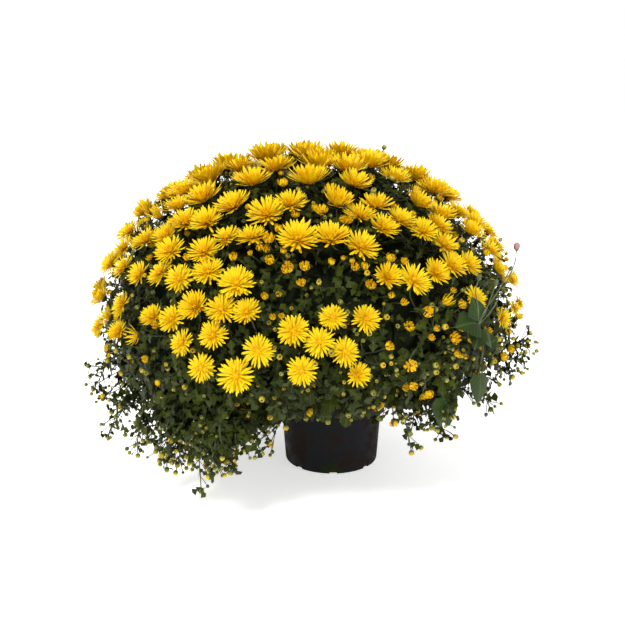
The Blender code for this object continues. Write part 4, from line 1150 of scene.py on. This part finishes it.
def make_branch(number, foliage, cups, rng):
    """One leafy branch, or the crown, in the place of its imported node."""
    crown = number == BRANCHES
    name = "leafy_crown" if crown else f"leafy_branch_{number + 1:02d}"
    piece = Piece(name + "_fine")
    # The core block is painted shade: a near-black mass where the foliage lies deep in shadow
    piece.add(crown_block() if crown else core_block(number), PAINTED_SHADE)
    stem = along_line(stem_path(number), 14)
    piece.add(tubes(stem[None], taper(WOOD_THICK, 14), 10), WOOD, 0.5)
    grow_packed(piece, name, foliage, rng)
    grow_cups(piece, number, cups, rng)
    grow_inner(piece, number, foliage, rng)
    azimuth, lift = spread_over(number, SHOOTS, rng)
    root = from_middle(dome_point(azimuth, lift, CORE_DOME), ROOT_SHARE)
    outer = dome_point(azimuth, lift, BLOOM_DOME)
    way = unit(outward(root) + UP * 0.2 + rng.normal(0, 0.22, root.shape))
    length = np.linalg.norm(outer - root, axis=1) * rng.uniform(*SHOOT_LENGTH, SHOOTS)
    leaf_size = np.where(lift < LEAF_LOW, *LEAF_LONG)
    foliage.grow_shoots(piece, root, way, length, bud_share(azimuth, lift), leaf_size)
    if not crown:
        grow_skirt(piece, number, foliage, rng)
        grow_hanging(piece, number, foliage, rng)
    made = piece.make()
    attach(made, "root")
    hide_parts(name)


def grow_inner(piece, number, foliage, rng):
    """Leaves that lie over one another on the core of painted shade."""
    azimuth, lift = spread_over(number, INNER_LEAVES, rng)
    root = from_middle(dome_point(azimuth, lift, CORE_DOME), CORE_SHARE)
    out = outward(root)
    root = root + out * rng.uniform(0, 1, (INNER_LEAVES, 1)) ** 1.5 * INNER_DEPTH
    along = square_to(rng.normal(0, 1, root.shape), out)
    along = unit(along + out * rng.uniform(0.1, 0.6, (INNER_LEAVES, 1)))
    facing = unit(out + rng.normal(0, 0.35, root.shape))
    foliage.grow_leaves(piece, root, along, facing, rng.uniform(*INNER_LONG, INNER_LEAVES) * MM)


def grow_skirt(piece, number, foliage, rng):
    """Shoots that lean out and down from the branch's lower edge, over the pot's lip."""
    count = SKIRT_SHOOTS[number]
    azimuth = sector(number, rng.uniform(-1, 1, count))
    lift = np.radians(rng.uniform(*SKIRT_LIFT, count))
    root = from_middle(dome_point(azimuth, lift, CORE_DOME), CORE_SHARE)
    out = np.stack([np.sin(azimuth), -np.cos(azimuth), np.zeros(count)], axis=1)
    out = out * rng.uniform(*SKIRT_OUT[number], (count, 1))
    way = unit(out - UP * 0.75 + rng.normal(0, 0.15, root.shape))
    length = rng.uniform(*SKIRT_LENGTH[number], count) * MM
    foliage.grow_shoots(piece, root, way, length, 0.6, SKIRT_LEAF, SKIRT_LEAVES)


def grow_hanging(piece, number, foliage, rng):
    """Long leafy shoots that leave the core outwards and hang down: first those that the photograph shows."""
    for column, row, front in HANGING_TIPS:
        tip = seen_at(column, row, -front * MM)
        azimuth = math.atan2(tip[0] - DOME_X, -tip[1])
        if branch_at(azimuth) == number:
            grow_one_hanging(piece, azimuth, tip, foliage, rng)
    for _ in range(HANGING_MORE[number]):
        azimuth = sector(number, rng.uniform(-1, 1))
        edge = dome_point(azimuth, math.radians(-40), CORE_DOME)
        out = level_way(azimuth) * rng.uniform(*HANGING_OUT) * MM
        tip = edge + out - UP * rng.uniform(*HANGING_DOWN) * MM
        tip[2] = max(tip[2], LOWEST + 20 * MM)
        grow_one_hanging(piece, azimuth, tip, foliage, rng)


def grow_one_hanging(piece, azimuth, tip, foliage, rng):
    """A hanging shoot from the core to a tip: a bent, wavering line with leaves, side buds and an end bud."""
    root = from_middle(dome_point(azimuth, math.radians(rng.uniform(-50, -15)), CORE_DOME), ROOT_SHARE)
    pull = np.array([*(root + (tip - root) * rng.uniform(0.4, 0.8))[:2], root[2] - 8 * MM])
    line = curved(root[None], pull[None], tip[None], HANGING_POINTS)
    waver = np.cumsum(rng.normal(0, 2.2, (HANGING_POINTS, 3)), axis=0)
    line = line + (waver - np.linspace(0, 1, HANGING_POINTS)[:, None] * waver[-1]) * MM
    piece.add(tubes(line, taper(HANGING_THICK, HANGING_POINTS), 5), STEM, rng.random(1))
    grow_trail(piece, line[0], foliage, rng)
    axis = unit(line[:, -1] - line[:, -3])
    size = rng.uniform(*HANGING_BUD, 1) * MM
    foliage.grow_buds(piece, tip[None] + axis * 3 * MM, axis, size, rng.uniform(0.1, 0.8, 1))


def grow_packed(piece, name, foliage, rng):
    """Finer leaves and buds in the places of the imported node's own, with leaves down its trailing twigs."""
    root, along, facing, size = (np.array(part) for part in zip(*find_leaves(name)))
    length = size * LEAF_LENGTH
    slope = np.radians(np.tile([[22.0, -22.0]], (len(root), 1)))
    shape = blades(root, along, facing, length, length * 0.34, slope, LEAF_SHAPE, -0.16)
    piece.add(shape, LEAF, rng.random(len(root)))
    stalk = curved(root - facing * 12 * MM - along * 12 * MM, root - along * 4 * MM, root + along * 2 * MM, 4)
    piece.add(tubes(stalk, 1.1 * MM, 4), STEM, rng.random(len(root)))
    # Twigs in front of the pot end where the photograph shows its wall bare
    for twig in find_twigs(name):
        shares = np.linspace(1, 0.1, 19)[:, None]
        short = np.argmin(hides_pot(twig[-1] + (twig[0] - twig[-1]) * shares))
        twig = twig[-1] + (twig - twig[-1]) * shares[short]
        tip, middle = twig[:2]
        foliage.grow_buds(piece, middle[None], unit(tip - middle)[None], [4.2 * MM], rng.random(1))
        down = along_line(twig[:1:-1], 9)
        piece.add(tubes(down[None], taper(TWIG_THICK, 9), 5), STEM, rng.random(1))
        if len(twig) > SHORTEST_TWIG and (abs(tip[0]) > POT_REACH or tip[1] > 0):
            grow_trail(piece, down, foliage, rng)


def grow_trail(piece, line, foliage, rng):
    """Leaves and side buds along a hanging twig."""
    ahead = unit(np.gradient(line, axis=0))
    first, second = sides_of(ahead)
    spot = np.repeat(np.arange(1, len(line)), LEAVES_AT_POINT)
    number = len(spot)
    side = spun(first[spot], second[spot], np.arange(number) * GOLDEN + rng.uniform(-0.4, 0.4, number))
    along = unit(side + ahead[spot] * rng.uniform(0.2, 1.0, (number, 1)))
    size = rng.uniform(*HANGING_LEAVES, number) * (1.15 - 0.5 * spot / len(line)) * MM
    facing = unit(0.4 * UP + 1.2 * outward(line[spot]) + rng.normal(0, 0.35, (number, 3)))
    root = line[spot] - (line[spot] - line[spot - 1]) * rng.random((number, 1))
    foliage.grow_leaves(piece, root, along, facing, size)
    path, first, second = (np.repeat(part[None], 3, axis=0) for part in (line[-5:], first[-4], second[-4]))
    foliage.grow_side_buds(piece, path, first, second)


# Weed that climbs the right side out of the same pot, by where it is seen in the view

# Points under the foliage in millimetres, then bends and stalks by column and row
WEED_UNDER = ((55, -30, 86), (55, -30, 142), (66, -39, 160), (112, -76, 162))
WEED_BENDS = ((471, 418), (480, 382), (480, 348), (475, 324))
WEED_STALKS = (
    ((481, 312), (489, 297), (497, 281), (505, 265), (517, 246)),
    ((476, 310), (481, 297), (486, 283)),
    ((473, 312), (484, 298), (493, 283), (500, 270)),
    ((468, 306), (465, 292), (470, 278)),
)
# Leaves: column, row, turn from level in degrees, and length in millimetres
WEED_LEAVES = (
    (467, 287, 110, 42), (461, 312, 170, 56), (476, 326, -60, 34), (463, 318, 230, 40), (470, 378, -100, 52),
    (482, 384, -40, 42), (461, 418, -100, 50), (472, 421, -80, 52), (475, 434, -75, 34), (458, 300, 200, 36),
    (480, 352, 20, 30),
)
WEED_INSIDE = 1.02
WEED_ABOVE = 1.05
WEED_THICK = (2.0, 1.3)
WEED_STALK = 0.7 * MM
WEED_KNOTS = 1 + 0.5 * (np.arange(16) % 4 == 0)
WEED_WIDE = 0.40
WEED_RISE = (5, 20)
WEED_DROOP = (-45, -15)
WEED_SHAPE = (
    (0, 0.05, 0), (0.14, 0.06, 0), (0.22, 0.66, -0.25), (0.36, 1.0, -0.05), (0.50, 0.90, 0.05),
    (0.62, 0.74, 0.1), (0.74, 0.52, 0.12), (0.88, 0.26, 0.1), (1, 0.03, 0),
)
WEED_HEAD_SHAPE = ((0.35, -1.3), (0.85, -0.9), (1.0, -0.1), (0.85, 0.6), (0.45, 1.05), (0.05, 1.1))
# Radii of the pink head on the first stalk, of the green ones on the others, and of the cups under them
WEED_HEAD_SIZE = 4.9 * MM
WEED_BUD_SIZE = 2.6 * MM
WEED_CUP_SIZE = 3 * MM


def sight_line(column, row):
    """Direction from the eye through a place in the view, one unit long along the view's axis."""
    forward = unit(AIM - EYE)
    right = unit(np.cross(forward, UP))
    down = np.cross(forward, right)
    return forward + (right * (column - PICTURE / 2) + down * (row - PICTURE / 2)) / FOCAL


def seen_at(column, row, level):
    """Point seen at a place in the view that lies at a given distance behind the middle plane."""
    line = sight_line(column, row)
    return EYE + line * (level - EYE[1]) / line[1]


def sighted(column, row):
    """Point of the bloom dome seen at a place in the view, or the nearest where the line misses it."""
    line = sight_line(column, row)
    reach, rise, drop = BLOOM_DOME
    for height, side in ((rise, 1), (drop, -1)):
        size = np.array([reach, reach, height])
        start = (EYE - DOME_MIDDLE) / size
        step = line / size
        along = -start @ step / (step @ step)
        short = along ** 2 - (start @ start - 1) / (step @ step)
        if short > 0:
            along -= math.sqrt(short)
        place = unit(start + step * along)
        if place[2] * side >= 0:
            break
    return DOME_MIDDLE + place * size


def outside(column, row, share=WEED_ABOVE):
    """Place seen in the view, at a share of the way from the dome's middle to its blooms."""
    return from_middle(sighted(column, row), share)


def nearest(line, place):
    """The point of a line that lies nearest to a place."""
    return line[np.argmin(np.linalg.norm(line - place, axis=1))]


def make_weed(rng):
    """The weed's stem, stalks with closed heads, and broad smooth leaves."""
    piece = Piece("weed_shoot_fine")
    path = [np.array(place) * MM for place in WEED_UNDER]
    path += [outside(*place, WEED_INSIDE) for place in WEED_BENDS]
    stem = along_line(np.array(path), 40)
    piece.add(tubes(stem[None], taper(WEED_THICK, 40), 8), WEED_STEM, 0.0)
    for number, places in enumerate(WEED_STALKS):
        line = [nearest(stem, outside(*places[0]))] + [outside(*place) for place in places]
        finish, size = WEED_STEM, WEED_BUD_SIZE
        if number == 0:
            line[-1] = seen_at(*places[-1], line[-2][1])
            finish, size = WEED_HEAD, WEED_HEAD_SIZE
        stalk = along_line(np.array(line), len(WEED_KNOTS))
        piece.add(tubes(stalk[None], WEED_STALK * WEED_KNOTS, 6), WEED_STEM, 0.9)
        end = stalk[-1]
        axis = unit(end - stalk[-2])
        piece.add(turned_one(end, axis, size, WEED_HEAD_SHAPE, 10, ribs=5, depth=0.06), finish, 0.8)
        cup = turned_one(end - axis * 4 * MM, axis, WEED_CUP_SIZE, WEED_HEAD_SHAPE, 8, ribs=4, depth=0.1)
        piece.add(cup, WEED_STEM, 0.6)
    for column, row, turn, size in WEED_LEAVES:
        place = outside(column, row)
        out = outward(place)
        side = unit(np.cross(UP, out))
        above = np.cross(out, side)
        angle = math.radians(turn)
        along = unit(side * math.cos(angle) + above * math.sin(angle) + out * 0.35)[None]
        facing = unit(out + UP * 0.3 + rng.normal(0, 0.15, 3))[None]
        slope = slopes(rng, WEED_RISE, WEED_DROOP, 1)
        length = np.array([size * MM])
        wide = np.array([size * WEED_WIDE * MM])
        shape = blades(nearest(stem, place)[None], along, facing, length, wide, slope, WEED_SHAPE, -0.14)
        piece.add(shape, WEED_LEAF, rng.random(1))
    made = piece.make()
    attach(made, "root")
    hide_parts("weed_shoot")


# Pot and soil, as profiles of radius and height in millimetres

POT_SIDES = 128
POT_PROFILE = (
    (1, 0), (60, 0), (76.4, 0), (77.6, 0.5), (78, 1.6), (79.4, 22), (80.9, 45), (82.5, 68), (84.0, 90),
    (85.5, 112), (86.6, 129), (86.9, 133.2), (87.6, 133.9), (89.2, 134), (89.8, 134.5), (90, 135.4),
    (90, 143.6), (89.7, 144.6), (89.2, 145), (88.9, 144.9), (88.6, 144.2), (88.5, 136), (87.6, 133.2),
    (85.6, 131), (84.0, 112), (81.0, 68), (76.7, 2.4), (75.5, 1.3), (60, 1.2), (1, 1.2),
)
POT_SHARP = 35
SLOTS = 8
SLOT_SIZE = (12, 9, 7)
SLOT_TURN = 0.03
SLOT_REACH = 77 * MM
SOIL_SIDES = 64
SOIL_PROFILE = (
    (1, 1.5), (75.8, 1.5), (77, 6), (81, 68), (84.4, 120), (84.2, 124), (78, 124.6), (66, 125.2), (54, 125.5),
    (42, 126), (30, 126.4), (18, 126.8), (8, 127), (1, 127),
)
SOIL_TOP = 123 * MM
SOIL_WAVE = 1.2 * MM
CRUMBS = 90
CRUMB_SIZE = (1.0, 3.6)
CRUMB_REACH = 80 * MM
CRUMB_LEVEL = 125.5 * MM
CRUMB_SHAPE = ((0.3, -0.9), (0.9, -0.4), (1, 0.2), (0.6, 0.8), (0.1, 1))


def slot_box(out):
    """A box across the foot of the pot's wall, in the level direction out."""
    side = np.cross(UP, out)
    wide, deep, tall = np.array(SLOT_SIZE) * MM
    corners = []
    for height in (-1 * MM, tall):
        for u, w in ((-1, -1), (1, -1), (1, 1), (-1, 1)):
            corners.append(out * SLOT_REACH + side * u * wide / 2 + out * w * deep / 2 + UP * height)
    return closed(np.reshape(corners, (1, 2, 4, 3)), np.zeros((1, 2)))


def make_pot():
    """The thin tapered pot with its stepped lip, and slots cut through the foot of its wall."""
    piece = Piece("pot_fine")
    profile = np.array(POT_PROFILE) * MM
    piece.add(turned_one(np.zeros(3), UP, 1.0, profile, POT_SIDES), PLASTIC)
    pot = piece.make(POT_SHARP)
    cutters = Piece("slots")
    for k in range(SLOTS):
        cutters.add(slot_box(level_way(math.tau * (k + SLOT_TURN) / SLOTS)), PLASTIC)
    cutter = cutters.make()
    change = pot.modifiers.new("slots", "BOOLEAN")
    change.operation = "DIFFERENCE"
    change.object = cutter
    change.solver = "EXACT"
    graph = bpy.context.evaluated_depsgraph_get()
    cut = bpy.data.meshes.new_from_object(pot.evaluated_get(graph))
    pot.modifiers.clear()
    pot.data = cut
    pot.data.set_sharp_from_angle(angle=math.radians(POT_SHARP))
    bpy.data.objects.remove(cutter)
    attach(pot, "root")
    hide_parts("pot")


def make_soil(rng):
    """The soil: a turned fill with a rough top, and crumbs lying on it."""
    piece = Piece("soil_fine")
    points, faces, place = turned_one(np.zeros(3), UP, 1.0, np.array(SOIL_PROFILE) * MM, SOIL_SIDES)
    top = points[..., 2] > SOIL_TOP
    wave = np.sin(points[..., 0] * 310 + 1) * np.sin(points[..., 1] * 270 + 2)
    wave = wave + rng.normal(0, 0.5, top.shape)
    points[..., 2] += np.where(top, wave * SOIL_WAVE, 0)
    piece.add((points, faces, place), SOIL, 0.4)
    reach = np.sqrt(rng.random(CRUMBS)) * CRUMB_REACH
    angle = rng.uniform(0, math.tau, CRUMBS)
    spot = np.stack([reach * np.cos(angle), reach * np.sin(angle), np.full(CRUMBS, CRUMB_LEVEL)], axis=1)
    axis = unit(rng.normal(0, 1, (CRUMBS, 3)))
    crumbs = turned(spot, axis, rng.uniform(*CRUMB_SIZE, CRUMBS) * MM, CRUMB_SHAPE, 6)
    piece.add(crumbs, SOIL, rng.random(CRUMBS))
    made = piece.make(30)
    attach(made, "root")
    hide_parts("soil")


# Stage

FLOOR_REACH = 80.0
FLOOR_DROP = 0.4 * MM
FLOOR_SHAPE = ((0.0002, 0), (1, 0), (1, 0.0005), (0.0002, 0.0005))
FLOOR_GLOW = 0.60
AIR_COLOUR = (1.0, 1.0, 0.96, 1)
AIR_LIGHT = 0.36
# Lamps by name: direction that they shine from, strength, breadth in degrees and colour
LAMPS = (
    ("key_light", (-0.45, -0.80, 1.15), 2.8, 14, (1, 0.975, 0.90)),
    ("fill_light", (0.9, -0.75, 0.75), 0.9, 40, (1, 1, 1)),
    ("back_light", (0.15, 0.9, 0.9), 0.7, 40, (1, 1, 1)),
)


def make_floor():
    """A plain pale floor, lit a little from within as a studio's light table is."""
    finish, _, shader = shade(
        "floor_white", Roughness=0.9, Specular_IOR_Level=0.1, Emission_Strength=FLOOR_GLOW)
    shader.inputs["Base Color"].default_value = (0.92, 0.92, 0.92, 1)
    shader.inputs["Emission Color"].default_value = (1, 1, 1, 1)
    piece = Piece("floor")
    piece.add(turned_one(-UP * FLOOR_DROP, -UP, FLOOR_REACH, FLOOR_SHAPE, 64), finish)
    piece.make()


def point(thing, place, aim):
    """Put a light or camera at a place and turn it to a point."""
    thing.location = place
    thing.rotation_euler = (Vector(aim) - Vector(place)).to_track_quat("-Z", "Y").to_euler()


def make_lamp(name, place, power, breadth, colour):
    """A broad distant light that shines from a direction."""
    lamp = bpy.data.lights.new(name, "SUN")
    lamp.energy = power
    lamp.angle = math.radians(breadth)
    lamp.color = colour
    made = bpy.data.objects.new(name, lamp)
    bpy.context.scene.collection.objects.link(made)
    point(made, place, (0, 0, 0))


def make_surroundings():
    """White surroundings that the camera sees as plain white and that light the plant more softly."""
    world = bpy.data.worlds.new("surroundings")
    world.use_nodes = True
    tree = world.node_tree
    lit = tree.nodes["Background"]
    lit.inputs["Color"].default_value = AIR_COLOUR
    lit.inputs["Strength"].default_value = AIR_LIGHT
    seen = tree.nodes.new("ShaderNodeBackground")
    seen.inputs["Color"].default_value = (1, 1, 1, 1)
    both = tree.nodes.new("ShaderNodeMixShader")
    ray = tree.nodes.new("ShaderNodeLightPath")
    tree.links.new(ray.outputs["Is Camera Ray"], both.inputs[0])
    tree.links.new(lit.outputs[0], both.inputs[1])
    tree.links.new(seen.outputs[0], both.inputs[2])
    tree.links.new(both.outputs[0], tree.nodes["World Output"].inputs["Surface"])
    bpy.context.scene.world = world


def make_stage():
    """Floor, surroundings, soft lights and the camera of the photograph."""
    make_floor()
    make_surroundings()
    scene = bpy.context.scene
    scene.view_settings.view_transform = "Standard"
    for lamp in LAMPS:
        make_lamp(*lamp)
    camera = bpy.data.cameras.new("camera")
    camera.sensor_width = SENSOR
    camera.lens = FOCAL / PICTURE * SENSOR
    made = bpy.data.objects.new("camera", camera)
    scene.collection.objects.link(made)
    point(made, EYE, AIM)
    scene.camera = made


def main():
    """Make the stage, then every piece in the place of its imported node."""
    make_stage()
    make_pot()
    make_soil(np.random.default_rng(SEED))
    make_weed(np.random.default_rng(SEED + 1))
    sprays = sorted(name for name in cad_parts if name.startswith("spray"))
    flowers = []
    for number, name in enumerate(sprays):
        flowers += make_spray(name, np.random.default_rng(SEED + 10 + number))
    cups = seen_cups(flowers)
    for number in range(BRANCHES + 1):
        rng = np.random.default_rng(SEED + 100 + number)
        make_branch(number, Foliage(flowers + cups, rng), cups, rng)


main()
